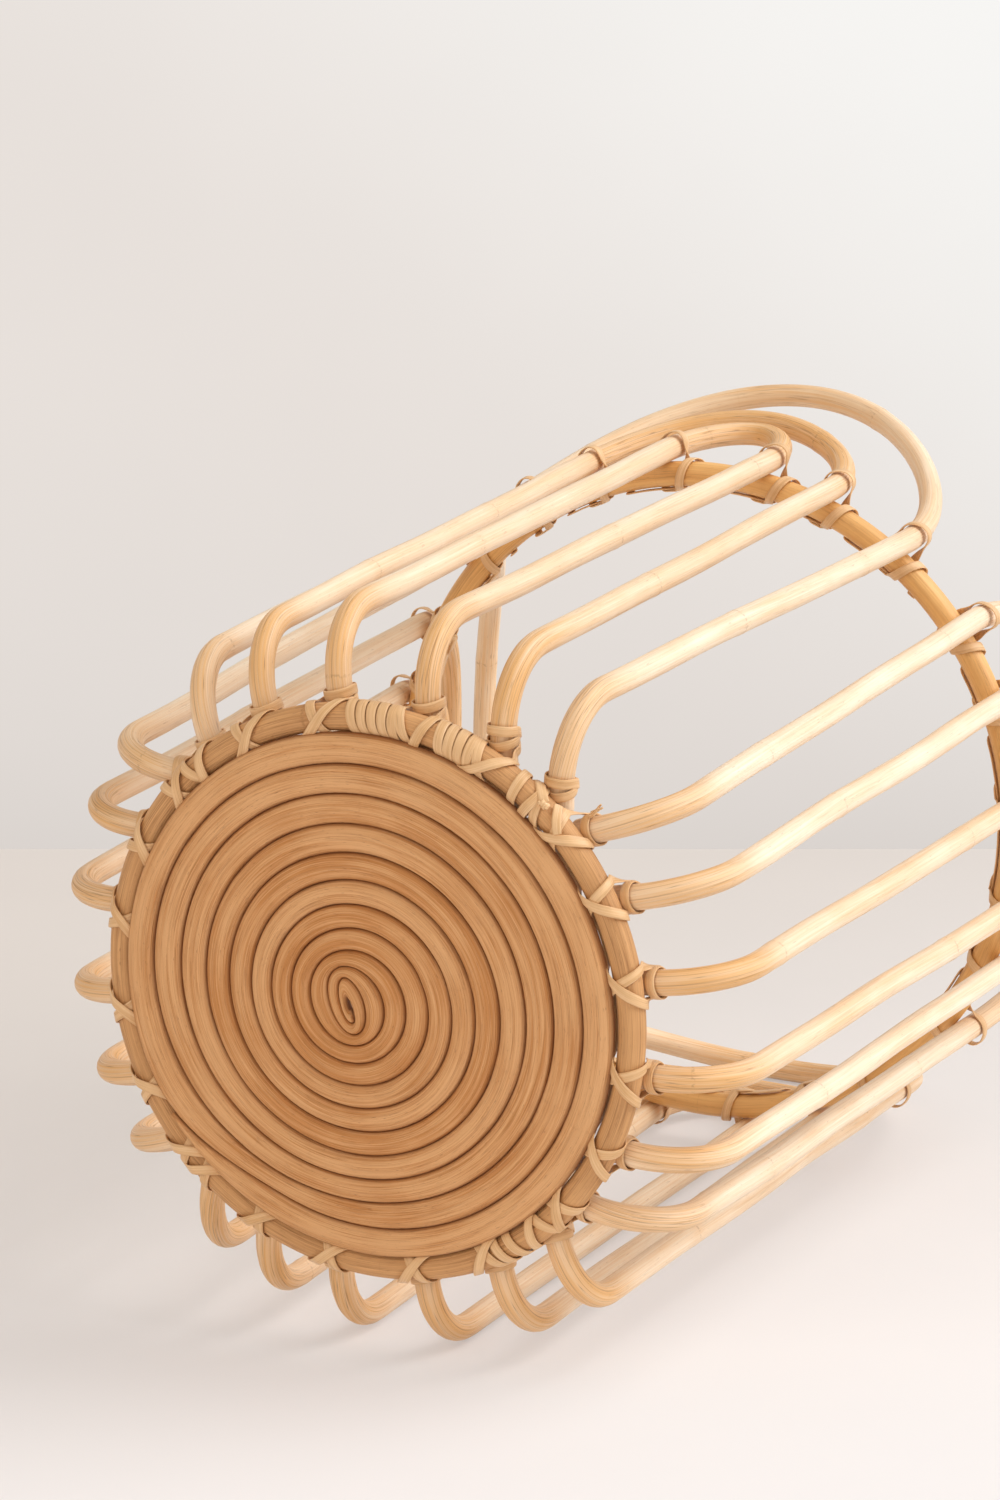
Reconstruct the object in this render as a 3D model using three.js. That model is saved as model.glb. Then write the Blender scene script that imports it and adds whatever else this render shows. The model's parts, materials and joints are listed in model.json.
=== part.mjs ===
// A round rattan basket: a spiral base inside a base ring, twelve bent rods that stand as twenty-four ribs
// and end in arches, a top ring inside the ribs, and flat binding strips round every crossing.
// Millimetres, +Z up along the basket's axis, origin at the middle of the spiral's flat underside.
import * as THREE from 'three';

// Rings
const baseRingRadius = 130;
const baseRingPole = 13;
const topRingRadius = 169;
const topRingPole = 13;
const topRingRise = 377;
const ringSteps = 48;

// Rods: three nested arches on each of four sides, with both feet on the base ring
const rodThickness = 12;
const rodSides = 8;
const wallFootRadius = 172.5;
const bendRadius = 32;
const bendSteps = 4;
const sides = 4;
const ribsPerSide = 6;
const footAngles = { inner: 9.7, middle: 27 };
const footPairGap = 1.6;
const footTails = { inner: 6, middle: 6, outer: 0 };
const footSlopeAngle = -13.3;
const footTwistAngle = -6.2;
const footFan = 0.28;
const headAngles = { inner: 8.8, middle: 22.6, outer: 36.5 };
const archRises = { inner: 51, middle: 70, outer: 122 };
const archLeans = { inner: 0, middle: 2, outer: 7 };
const archShoulder = 0.08;
const archSteps = 10;

// How far the maker's hand set each rib's head off the even spacing, in degrees, first rib to last of a side
const headShifts = [
  [0, -1, 0.5, 0.5, -1.5, -0.5],
  [-1, -1.5, 1, 0.5, -1, -1],
  [0, 0, 0, 0, 0, 0],
  [0, 0, -1, 1, 0, 2.5],
];

// Spiral base: one pole, thicker towards its outer end, wound from the ring in to a small eye.
// It has as many turns as fill the ring.
const coilHeight = 11;
const coilPoleInner = 10.35;
const coilPoleOuter = 13.8;
const coilTurnGap = 0.5;
const coilSink = 5.1;
const coilTailAngle = 312;
const coilStepTurns = 0.16;
const coilStepGrowth = 0.37;
const coilEyeX = 8.4;
const coilEyeY = -3.9;
const coilEyeRadius = 4.7;
const coilEyeHole = 1.6;
const coilEyeClosing = 0.25;
const coilTipShare = 0.3;
const coilSteps = 24;
const coilFlatShare = 0.1;

// Binding strips
const stripWidth = 4.8;
const stripThickness = 0.9;
const legOffset = 5.5;
const apexOffset = 3;
const wrapStart = 9.7;
const wrapPitch = 5.2;
const stripTurnAngle = 45;
const stripRunAngle = 6;

// Clearance between pieces that touch
const gap = 0.3;

// Derived sizes
const baseRingR = baseRingPole / 2;
const topRingR = topRingPole / 2;
const rodR = rodThickness / 2;
const coilCut = coilHeight * coilFlatShare;
const coilZ = coilHeight / 2 - coilCut;
const baseRingZ = coilZ + coilSink;
const topRingZ = baseRingZ + topRingRise;
const headRadius = topRingRadius + topRingR + gap + rodR;

const deg = Math.PI / 180;
const footZ = baseRingZ + (baseRingR + gap + rodR) / Math.cos(footSlopeAngle * deg);
const levels = ['inner', 'middle', 'outer'];
const halfSide = ribsPerSide / 2;
const levelOf = (rib) => levels[rib < halfSide ? halfSide - 1 - rib : rib - halfSide];
const signOf = (rib) => (rib < halfSide ? -1 : 1);
const ribsOfLevel = (level) => [halfSide - 1 - levels.indexOf(level), halfSide + levels.indexOf(level)];
const v3 = (x, y, z) => new THREE.Vector3(x, y, z);
const polar = (radius, angle, z) => v3(radius * Math.cos(angle), radius * Math.sin(angle), z);

// Where the middle of a strip lies from the middle of a pole, so that its flats clear the pole's facets
const facetRoom = (radius, steps) => radius * (1 - Math.cos(Math.PI / steps));
const hugOf = (poleR) => (poleR + gap) / Math.cos(Math.PI / rodSides) + stripThickness / 2;
const baseHug = hugOf(baseRingR) + facetRoom(baseRingRadius, ringSteps);
const topHug = hugOf(topRingR) + facetRoom(topRingRadius, ringSteps);
const coilOuter = baseRingRadius - baseHug - stripThickness / 2 - 3 * gap;
const coilTurns = (2 * (coilOuter - coilEyeRadius)) / (coilPoleInner + coilPoleOuter) + 0.5;

// The outer feet of neighbouring sides stand next to each other on the ring
function footAngle(level) {
  if (level !== 'outer') return footAngles[level];
  return 180 / sides - Math.asin((rodThickness + footPairGap) / 2 / baseRingRadius) / deg;
}

// Everything that places one rib: its side, and its number on that side from one outer foot to the other
function ribPlan(side, rib) {
  const level = levelOf(rib);
  const middle = 90 * deg + (side * 2 * Math.PI) / sides;
  const foot = signOf(rib) * footAngle(level) * deg;
  const head = middle + (signOf(rib) * headAngles[level] + headShifts[side][rib]) * deg;
  const footDirection = middle + footTwistAngle * deg + footFan * foot;
  const crossing = polar(baseRingRadius, middle + foot, footZ);
  const out = polar(1, footDirection, 0);
  const along = crossing.x * out.x + crossing.y * out.y;
  const reach = -along + Math.sqrt(along ** 2 - baseRingRadius ** 2 + wallFootRadius ** 2);
  const way = out.clone().setZ(Math.tan(footSlopeAngle * deg));
  return {
    level,
    ringAngle: middle + foot,
    headAngle: head,
    crossing,
    way: way.clone().normalize(),
    end: crossing.clone().addScaledVector(way, -footTails[level]),
    corner: crossing.clone().addScaledVector(way, reach),
    head: polar(headRadius, head, topRingZ),
  };
}

// Round a corner of a path with an arc
function roundedCorner(before, corner, after, radius, steps) {
  const into = corner.clone().sub(before).normalize();
  const outOf = after.clone().sub(corner).normalize();
  const turn = into.angleTo(outOf);
  const tangent = radius * Math.tan(turn / 2);
  const start = corner.clone().addScaledVector(into, -tangent);
  const side = outOf.clone().addScaledVector(into, -outOf.dot(into)).normalize();
  const points = [];
  for (let i = 0; i <= steps; i += 1) {
    const a = (turn * i) / steps;
    const point = start.clone().addScaledVector(into, radius * Math.sin(a));
    points.push(point.addScaledVector(side, radius * (1 - Math.cos(a))));
  }
  return points;
}

// The arch between two heads: half an ellipse laid on the wall, with its shoulders drawn in a little
function archPoint(level, headA, headB, u) {
  const middle = (headA + headB) / 2;
  const half = (headB - headA) / 2;
  const angle = middle - half * Math.cos(u) * (1 - archShoulder * Math.sin(u) ** 2);
  const radius = headRadius + archLeans[level] * Math.sin(u);
  return polar(radius, angle, topRingZ + archRises[level] * Math.sin(u));
}

// Centre line of one rod, from its first foot over the arch to its second foot
function rodPath(side, level) {
  const [first, second] = ribsOfLevel(level).map((rib) => ribPlan(side, rib));
  const leg = (plan) => [plan.end, ...roundedCorner(plan.end, plan.corner, plan.head, bendRadius, bendSteps)];
  const arch = [];
  for (let i = 1; i < archSteps; i += 1) {
    arch.push(archPoint(level, first.headAngle, second.headAngle, (Math.PI * i) / archSteps));
  }
  return [...leg(first), first.head, ...arch, second.head, ...leg(second).reverse()];
}

// Skin a row of sections, each a list of points that turns anticlockwise about the way of travel.
// Opposite faces are halved along the same diagonal, so that a flat strip can twist without crossing itself.
function skin(sections, closed) {
  const count = sections[0].length;
  const positions = sections.flat().flatMap((p) => [p.x, p.y, p.z]);
  const index = [];
  const last = closed ? sections.length : sections.length - 1;
  for (let i = 0; i < last; i += 1) {
    const here = i * count;
    const next = ((i + 1) % sections.length) * count;
    for (let j = 0; j < count; j += 1) {
      const k = (j + 1) % count;
      if (j < count / 2) index.push(here + j, here + k, next + k, here + j, next + k, next + j);
      else index.push(here + j, here + k, next + j, here + k, next + k, next + j);
    }
  }
  if (!closed) {
    const end = (sections.length - 1) * count;
    for (let j = 1; j < count - 1; j += 1) {
      index.push(0, j + 1, j, end, end + j, end + j + 1);
    }
  }
  const geometry = new THREE.BufferGeometry();
  geometry.setAttribute('position', new THREE.Float32BufferAttribute(positions, 3));
  geometry.setIndex(index);
  geometry.computeVertexNormals();
  return geometry;
}

// The way of travel at each point of a path: midway between the stretch before it and the one after it
function headings(path) {
  const ways = path.slice(1).map((point, i) => point.clone().sub(path[i]).normalize());
  return path.map((_, i) => ways[Math.max(i - 1, 0)].clone().add(ways[Math.min(i, ways.length - 1)]).normalize());
}

function roundSection(centre, u, v, radius, count) {
  const points = [];
  for (let j = 0; j < count; j += 1) {
    const a = (2 * Math.PI * j) / count;
    points.push(centre.clone().addScaledVector(u, radius * Math.cos(a)).addScaledVector(v, radius * Math.sin(a)));
  }
  return points;
}

// A round rod along a path, its sections carried without twist
function rodGeometry(path, radius) {
  const ways = headings(path);
  let normal = v3(0, 0, 1);
  const sections = path.map((point, i) => {
    normal = normal.clone().addScaledVector(ways[i], -normal.dot(ways[i])).normalize();
    return roundSection(point, normal, ways[i].clone().cross(normal), radius, rodSides);
  });
  return skin(sections, false);
}

function ringGeometry(ringRadius, z, poleRadius) {
  const sections = [];
  for (let i = 0; i < ringSteps; i += 1) {
    const a = (-2 * Math.PI * i) / ringSteps;
    sections.push(roundSection(polar(ringRadius, a, z), polar(1, a, 0), v3(0, 0, 1), poleRadius, rodSides));
  }
  return skin(sections, true);
}

// How far the spiral's edge has come in from its outermost circle after so many turns from the tail.
// Each turn steps in by one pole: quickly where the tail is thinned, more and more evenly further in.
function coilInset(turns) {
  let inset = 0;
  for (let k = 1; k < coilTurns + 2; k += 1) {
    const pole = coilPoleOuter + ((coilPoleInner - coilPoleOuter) * (k - 0.5)) / coilTurns;
    const width = Math.min(2, coilStepTurns + coilStepGrowth * (k - 1));
    const x = THREE.MathUtils.clamp((turns - k) / width + 0.5, 0, 1);
    inset += pole * (x - Math.sin(2 * Math.PI * x) / (2 * Math.PI));
  }
  return inset;
}

// Distance from the eye to the spiral's edge along a ray: a circle whose middle drifts from ring to eye
function coilEdge(turns, angle) {
  const radius = coilOuter - coilInset(turns);
  const drift = Math.hypot(coilEyeX, coilEyeY) * THREE.MathUtils.clamp(1 - turns / coilTurns, 0, 1);
  const off = angle - Math.atan2(-coilEyeY, -coilEyeX);
  return drift * Math.cos(off) + Math.sqrt(radius ** 2 - (drift * Math.sin(off)) ** 2);
}

// The strand's inner edge: next to the following turn, or in the last turn closing in on the eye
function coilInnerEdge(turns, angle) {
  const inLastTurn = turns - coilTurns + 1;
  if (inLastTurn <= 0) return coilEdge(turns + 1, angle) + coilTurnGap / 2;
  const open = coilEdge(coilTurns, angle) + coilTurnGap / 2;
  return THREE.MathUtils.lerp(open, coilEyeHole, Math.min(inLastTurn / coilEyeClosing, 1));
}

// One section of the spiral: six corners with the lowest cut off flat
function coilSection(turns) {
  const angle = (coilTailAngle - 360 * turns) * deg;
  const outer = coilEdge(turns, angle) - coilTurnGap / 2;
  const inner = coilInnerEdge(turns, angle);
  const halfWidth = (outer - inner) / 2 / Math.cos(30 * deg);
  const half = coilHeight / 2;
  const cut = (2 * coilCut * Math.cos(30 * deg)) / half;
  const corners = [[30], [90], [150], [210], [270, -cut], [270, cut], [330]];
  return corners.map(([a, across]) => {
    const c = across === undefined ? Math.cos(a * deg) : across;
    const s = across === undefined ? Math.sin(a * deg) : -1 + coilCut / half;
    const point = polar((outer + inner) / 2 + halfWidth * c, angle, coilZ + half * s);
    return point.add(v3(coilEyeX, coilEyeY, 0));
  });
}

// From the thinned tip of the tail to an end that stops a little short of closing the last turn
function coilSections() {
  const sections = [];
  const tip = (coilTipShare - 0.5) * coilStepTurns;
  const steps = Math.floor((coilTurns - tip) * coilSteps) - 1;
  for (let i = 0; i <= steps; i += 1) sections.push(coilSection(tip + i / coilSteps));
  return sections;
}

// Least distance between the points of sections that lie half a turn or more apart
function leastCoilGap(sections) {
  let least = Infinity;
  for (let i = 0; i < sections.length; i += 1) {
    for (let j = i + coilSteps / 2; j < sections.length; j += 1) {
      for (const p of sections[i]) {
        for (const q of sections[j]) least = Math.min(least, p.distanceTo(q));
      }
    }
  }
  return least;
}

// A flat strip: stations hold a point and the way that the strip's outer face looks there
function stripGeometry(stations) {
  const ways = headings(stations.map(({ point }) => point));
  const sections = stations.map(({ point, face }, i) => {
    const up = face.clone().addScaledVector(ways[i], -face.dot(ways[i])).normalize();
    const across = ways[i].clone().cross(up);
    const corners = [[1, 1], [-1, 1], [-1, -1], [1, -1]];
    return corners.map(([a, b]) => {
      const corner = point.clone().addScaledVector(up, (a * stripThickness) / 2);
      return corner.addScaledVector(across, (b * stripWidth) / 2);
    });
  });
  return skin(sections, false);
}

// A ring as the strips see it. Its pole's section is measured from the way the ribs lead away (0 degrees)
// to the way the ribs lie on it (90 degrees), and the strips travel so that these two turn right-handed.
const baseRing = {
  radius: baseRingRadius,
  hug: baseHug,
  way: 1,
  runAngle: 180,
  point: (angle, lead, lie) => polar(baseRingRadius + lead, angle, baseRingZ + lie),
  lead: (angle) => polar(1, angle, 0),
  lie: () => v3(0, 0, 1),
};
const topRing = {
  radius: topRingRadius,
  hug: topHug,
  way: -1,
  runAngle: 270,
  point: (angle, lead, lie) => polar(topRingRadius + lie, angle, topRingZ + lead),
  lead: () => v3(0, 0, 1),
  lie: (angle) => polar(1, angle, 0),
};

// A strip's station on a ring: arc is the distance along the ring from the given angle
function onRing(ring, ringAngle, arc, sectionAngle) {
  const angle = ringAngle + (ring.way * arc) / ring.radius;
  const c = Math.cos(sectionAngle * deg);
  const s = Math.sin(sectionAngle * deg);
  const face = ring.lead(angle).multiplyScalar(c).addScaledVector(ring.lie(angle), s);
  return { point: ring.point(angle, ring.hug * c, ring.hug * s), face };
}

// Where one rib crosses a ring, and its centre line from there on
function crossingOnRing(ring, side, rib) {
  const plan = ribPlan(side, rib);
  if (ring === baseRing) {
    const bend = roundedCorner(plan.end, plan.corner, plan.head, bendRadius, bendSteps);
    return { angle: plan.ringAngle, path: [plan.crossing, ...bend] };
  }
  const [headA, headB] = ribsOfLevel(plan.level).map((each) => ribPlan(side, each).headAngle);
  const path = [plan.head];
  for (let i = 1; i <= archSteps / 2; i += 1) {
    const u = (Math.PI * i) / archSteps;
    path.push(archPoint(plan.level, headA, headB, signOf(rib) < 0 ? u : Math.PI - u));
  }
  return { angle: plan.headAngle, path };
}

// One lashing: in under the ring, up one side of the rib, over it, down the other side and back.
// The angle that comes back is that of the middle between its two ends on the ring.
function lashing(ring, side, rib) {
  const { angle, path } = crossingOnRing(ring, side, rib);
  const lead = ring.lead(angle);
  const across = ring.lie(angle).cross(lead);
  const bandLead = ring.hug + stripThickness / 2 + gap + stripWidth / 2;
  const leadOf = (point) => point.clone().sub(path[0]).dot(lead);
  const found = path.findIndex((point) => leadOf(point) > bandLead);
  const beyond = found < 0 ? path.length - 1 : found;
  const way = path[beyond].clone().sub(path[beyond - 1]).normalize();
  const slant = Math.atan2(way.dot(across), way.dot(lead));
  const shift = ring.hug * Math.tan(slant);
  const back = (leadOf(path[beyond]) - bandLead) / way.dot(lead);
  const bandCentre = path[beyond].clone().addScaledVector(way, -back);
  const bandAcross = across.clone().addScaledVector(way, -across.dot(way)).normalize();
  const bandUp = way.clone().cross(bandAcross);
  const stations = [];
  const steps = (360 - ring.runAngle) / stripTurnAngle;
  const leg = (sign, step) => {
    const arc = shift + sign * THREE.MathUtils.lerp(legOffset / Math.cos(slant), apexOffset, step / steps);
    stations.push(onRing(ring, angle, arc, -stripTurnAngle * step));
  };
  const twist = (a) => {
    const side = bandAcross.clone().multiplyScalar(Math.cos(a * deg));
    const level = bandCentre.clone().addScaledVector(side, hugOf(rodR));
    const foot = onRing(ring, angle, shift + (Math.cos(a * deg) * legOffset) / Math.cos(slant), 0);
    stations.push({ point: level.add(foot.point).multiplyScalar(0.5), face: side.add(lead).normalize() });
  };
  for (let step = steps; step >= 0; step -= 1) leg(-1, step);
  twist(180);
  for (let a = 180; a >= 0; a -= stripTurnAngle) {
    const face = bandAcross.clone().multiplyScalar(Math.cos(a * deg));
    face.addScaledVector(bandUp, Math.sin(a * deg));
    stations.push({ point: bandCentre.clone().addScaledVector(face, hugOf(rodR)), face });
  }
  twist(0);
  for (let step = 0; step <= steps; step += 1) leg(1, step);
  return { angle: angle + (ring.way * shift) / ring.radius, stations };
}

// Close turns round the ring's bare pole, from past the rib on
function closeWraps(ring, angle, count) {
  const stations = [];
  for (let turned = 0; turned <= count * 360; turned += stripTurnAngle) {
    stations.push(onRing(ring, angle, wrapStart + (wrapPitch * turned) / 360, ring.runAngle - turned));
  }
  return stations;
}

// Stations along the ring from one angle to another, close enough together to follow its curve
function run(ring, fromAngle, toAngle) {
  const span = ring.way * THREE.MathUtils.euclideanModulo(ring.way * (toAngle - fromAngle), 2 * Math.PI);
  const steps = Math.ceil(Math.abs(span) / (stripRunAngle * deg));
  const stations = [];
  for (let i = 1; i < steps; i += 1) {
    stations.push(onRing(ring, fromAngle + (span * i) / steps, 0, ring.runAngle));
  }
  return stations;
}

// One strip that binds a row of ribs; wraps gives the number of close turns that follow a rib
function bindingStrip(ring, ribs, wraps) {
  const stations = [];
  const apex = (ring.way * apexOffset) / ring.radius;
  let runFrom;
  for (const number of ribs) {
    const bound = lashing(ring, Math.floor(number / ribsPerSide), number % ribsPerSide);
    if (runFrom !== undefined) stations.push(...run(ring, runFrom, bound.angle - apex));
    stations.push(...bound.stations);
    runFrom = bound.angle + apex;
    const turns = wraps[number] ?? 0;
    if (turns > 0) {
      stations.push(...closeWraps(ring, bound.angle, turns));
      runFrom = bound.angle + (ring.way * (wrapStart + wrapPitch * turns)) / ring.radius;
    }
  }
  return stripGeometry(stations);
}

// Colours and roughness of the pieces
const looks = {
  baseRing: { color: 0xc9a071, roughness: 0.6 },
  topRing: { color: 0xcf9553, roughness: 0.6 },
  spiral: { color: 0xc4935f, roughness: 0.62 },
  rod: { color: 0xe6c898, roughness: 0.62 },
  strip: { color: 0xd2aa76, roughness: 0.5 },
};

const basket = new THREE.Group();

function add(name, geometry, look) {
  const mesh = new THREE.Mesh(geometry, new THREE.MeshStandardMaterial({ ...look, metalness: 0 }));
  mesh.name = name;
  basket.add(mesh);
}

add('base_ring', ringGeometry(baseRingRadius, baseRingZ, baseRingR), looks.baseRing);
add('top_ring', ringGeometry(topRingRadius, topRingZ, topRingR), looks.topRing);

const spiral = coilSections();
add('base_spiral', skin(spiral, false), looks.spiral);
console.log(`least gap between the turns of the base spiral: ${leastCoilGap(spiral).toFixed(2)} mm`);

const sideNames = ['north', 'west', 'south', 'east'];
sideNames.forEach((sideName, side) => {
  levels.forEach((level) => {
    add(`rod_${sideName}_${level}`, rodGeometry(rodPath(side, level), rodR), looks.rod);
  });
});

// The ribs are numbered round the basket, from the north side's first on. The base's four strips start and end
// where the photograph shows the strip joined, and the first goes on with close turns after two of its ribs.
const ribs = sides * ribsPerSide;
const row = (from, count) => Array.from({ length: count }, (_, i) => (from + i) % ribs);
const baseRows = [[18, 10], [4, 2], [6, 7], [13, 5]];
const baseWraps = { 2: 4, 3: 2 };
baseRows.forEach(([from, count], i) => {
  add(`base_binding_${i + 1}`, bindingStrip(baseRing, row(from, count), baseWraps), looks.strip);
});
for (let side = 0; side < sides; side += 1) {
  const sideRow = row(side * ribsPerSide, ribsPerSide).reverse();
  add(`top_binding_${side + 1}`, bindingStrip(topRing, sideRow, {}), looks.strip);
}

export default basket;
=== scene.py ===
"""A round rattan basket that lies on its side in a pale studio.

The spiral base, the two rings, the twelve bent rods and the binding strips are surfaces carried along the
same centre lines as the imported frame, with the growth rings, grain and slight unevenness of real rattan.
Everything is in metres, with +Z up along the basket's axis and the spiral's flat underside at z = 0. A name
that ends in MM holds millimetres.
"""
import json
from math import asin, atan2, ceil, cos, hypot, pi, radians, sin, sqrt, tan
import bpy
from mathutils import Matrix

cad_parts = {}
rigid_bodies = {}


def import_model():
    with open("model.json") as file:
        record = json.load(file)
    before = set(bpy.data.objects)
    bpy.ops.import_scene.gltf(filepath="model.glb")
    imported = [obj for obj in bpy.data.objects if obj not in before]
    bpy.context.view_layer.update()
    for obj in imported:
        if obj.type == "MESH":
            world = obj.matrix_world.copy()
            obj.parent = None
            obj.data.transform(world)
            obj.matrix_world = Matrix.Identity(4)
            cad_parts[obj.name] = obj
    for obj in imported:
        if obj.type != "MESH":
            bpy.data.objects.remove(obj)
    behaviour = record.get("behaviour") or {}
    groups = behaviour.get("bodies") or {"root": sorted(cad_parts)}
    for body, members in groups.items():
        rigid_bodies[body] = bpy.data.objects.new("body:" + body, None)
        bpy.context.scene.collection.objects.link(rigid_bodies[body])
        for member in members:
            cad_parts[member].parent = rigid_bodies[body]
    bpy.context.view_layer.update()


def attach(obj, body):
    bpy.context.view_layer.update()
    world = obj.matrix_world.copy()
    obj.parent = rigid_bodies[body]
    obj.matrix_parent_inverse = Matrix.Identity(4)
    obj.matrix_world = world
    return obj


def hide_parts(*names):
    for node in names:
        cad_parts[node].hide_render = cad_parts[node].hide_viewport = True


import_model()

from types import SimpleNamespace

import bpy
import numpy as np
from mathutils import Matrix, Vector

bl_info = {
    "name": "Rattan basket",
    "version": (1, 0, 0),
    "blender": (4, 5, 0),
    "location": "3D View > Sidebar > Basket",
    "description": "Builds the pieces of a round rattan basket and a pale studio round it",
    "category": "Add Mesh",
}

# Layout of the ribs: three nested rods on each of four sides, numbered round the basket from the north side's
# first rib on. Angles are in degrees.
SIDES = ("north", "west", "south", "east")
LEVELS = ("inner", "middle", "outer")
RIBS_PER_SIDE = 6
RIBS = RIBS_PER_SIDE * len(SIDES)
FOOT_ANGLES = {"inner": 9.7, "middle": 27.0}
FOOT_SLOPE = -13.3
FOOT_TWIST = -6.2
FOOT_FAN = 0.28
HEAD_ANGLES = {"inner": 8.8, "middle": 22.6, "outer": 36.5}
HEAD_SHIFTS = (
    (0, -1, 0.5, 0.5, -1.5, -0.5),
    (-1, -1.5, 1, 0.5, -1, -1),
    (0, 0, 0, 0, 0, 0),
    (0, 0, -1, 1, 0, 2.5),
)
ARCH_SHOULDER = 0.08

# Spiral: where the tail ends, how each turn steps in by one pole, how the last turns thin out, where the eye
# is, and how the strand is drawn out into a slit round it
TAIL_ANGLE = 312
STEP_TURNS = 0.16
STEP_GROWTH = 0.37
TIP_SHARE = 0.3
EYE_CLOSING = 0.25
EYE_THINNING = (0.92, 0.68, 0.45)
EYE_FADING = (0.8, 0.6)
EYE_PLACE = (0.0084, -0.0039)
EYE_ANGLE = 75
EYE_STRETCH = 0.75
EYE_SQUEEZE = 0.55
EYE_REACH = 0.012

UP = np.array([0, 0, 1.0])

# Kind and field of each attribute of a mesh's points
NUMBER = ("FLOAT", "value")
ATTRIBUTE_KINDS = {
    "grain": ("FLOAT_VECTOR", "vector"), "growth": NUMBER, "tint": NUMBER, "strain": NUMBER,
    "paint": ("FLOAT_COLOR", "color"),
}

# The pole as it grew: growth rings at uneven distances, none close to an end, each with a low bump as wide as
# this; how far from a ring its mark is still told apart; and the mean distances between rings
RING_MARGIN = 0.012
BUMP_WIDTH = 0.0035
MARK_REACH = 0.02
ROD_GROWTH, RING_GROWTH, COIL_GROWTH = 0.21, 0.17, 0.26

# Fineness of the surfaces: distances between rows, or numbers of rows, and numbers of points round them
ROD_STEP, STRIP_STEP = 0.0022, 0.0011
RING_ROWS, COIL_ROWS = 360, 1300
ROD_AROUND, RING_AROUND, COIL_AROUND, STRIP_AROUND = 20, 24, 28, 12

# How round the cut ends are
ROD_ROUNDING, STRIP_ROUNDING = 0.0009, 0.0003

# A rod is bent where its curvature, in radians a metre, passes from the first value to the second
BENT = (3, 15)

# How far a strip's middle stands off a pole, besides the clearance and half its thickness
STRIP_ROOM = {"base": 0.0003, "top": 0.0003, "rod": 0.0002}
# Section angles at which a strip runs on between the lashings, and the distance between its stations there
BASE_RUN, TOP_RUN = -191, -90
RUN_STEP = 0.007

# The four strips that bind the base: first rib and number of ribs
BASE_ROWS = ((18, 10), (4, 2), (6, 7), (13, 5))
# Turns of the strip round the bare base ring after a rib: start and pitch, and how many turns
BASE_WRAPS_MM = {2: (10.5, 5.1, 5), 3: (10.5, 5.1, 4), 4: (14.0, 3.5, 1), 12: (9.0, 8.0, 2)}
# Turns round a rib where there are two, the rib whose strip comes across its near side first and ends in a
# knot, and the next one, where a strip starts frayed
LASHING_TURNS = {4: 2, 5: 2}
CROSSED_RIB = 5
FRAYED_RIB = 6
# How far along a rib from the ring a strip is at angles round the rib, for one band and for two
BAND_PLACES_MM = {
    1: ((-20, 90, 180, 270, 360, 450, 540), (4.2, 6.6, 8.2, 8.8, 9.8, 7.6, 3.8)),
    2: (
        (-20, 90, 180, 270, 360, 450, 540, 630, 720, 810, 900),
        (4.2, 6.6, 8.0, 8.6, 10.0, 12.0, 14.0, 15.0, 14.5, 9.0, 3.8),
    ),
}
# A base lashing: how far beside the rib its strands come up, how far before the rib the first one starts and
# the least run that it leaves, where on the ring's section both strands begin and how many degrees they
# cover, how far the first lies over the second, and how far the last turn stands off where it crosses them
LASH_OUT, LASH_START, LASH_RUN = 0.0082, 0.0155, 0.007
LASH_FROM, LASH_SWEEP = -180, 212
LASH_OVER, LASH_CROSSING = 0.00105, 0.0011
# A top lashing: start and pitch of its turn round the bare ring before the rib, and how far before the rib it
# begins; how far it lies over the ring's side under the rib, and how far along the rib its loop is; and where
# on the loop it is loosest, and over how many degrees
TURN_START, TURN_PITCH, TURN_BEFORE = -0.0190, 0.0150, 0.0205
LOOP_UNDER, LOOP_PLACE = 0.0011, 0.0062
LOOSE_ANGLE, LOOSE_SPREAD = 128, 42
# The loop into the knot and the cut end of its strip, under the base ring: along the ring, outward and down
KNOT_LOOP_MM = (
    (-15.5, -14.5, -12.5, -10.0, -7.5, -5.5, -4.0),
    (-2.0, 4.5, 7.0, 7.6, 7.4, 6.8, 6.6),
    (-7.2, -6.0, -2.5, 1.5, 4.0, 5.6, 6.6),
)
KNOT_END_MM = ((0.5, 2.5, 5.0, 7.5, 9.6), (8.4, 7.4, 5.8, 4.2, 3.0), (2.0, 5.0, 7.6, 9.0, 9.6))
FRAYED_FIBRES = 5

# Rattan: where nearly all values of a noise lie, the warm colour's share in a plain pole, and a bend's part
NOISE_SPREAD = (0.36, 0.64)
MEAN_WARMTH, BEND_WARMTH = 0.4, 0.42

# Seeds of what is uneven, one for each piece
ROD_SEEDS, BASE_STRIP_SEEDS, TOP_STRIP_SEEDS = 100, 60, 70
BASE_RING_SEED, TOP_RING_SEED, COIL_SEED, FRAYED_SEED = 41, 42, 31, 91

# The camera: its place, the ways right, up and back from what it sees, and its lens in millimetres
CAMERA_PLACE = (-1.01126, 0.72507, -1.94804)
CAMERA_RIGHT = (-0.89831, 0.0129, 0.43917)
CAMERA_UP = (0.12824, 0.96374, 0.23402)
CAMERA_BACK = (-0.42022, 0.26654, -0.86739)
CAMERA_LENS, CAMERA_SENSOR = 122.2, 36

# The way up in the photograph, square to the floor that the basket lies on, and how far the wall's foot is
# from the point of the floor under the camera
FLOOR_NORMAL = (0.03043, 0.999, 0.0329)
WALL_DISTANCE = 3.21
WALL_HEIGHT = 4.0
STUDIO_HALF = 4.0
FLOOR_BEHIND = 0.5
GROUND_HALF = 5.0
SHEET_CELLS = 160
# Share of its own colour that a sheet shows the camera, whatever light falls on it
FLOOR_GLOW, WALL_GLOW = 0.45, 1.0

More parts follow.
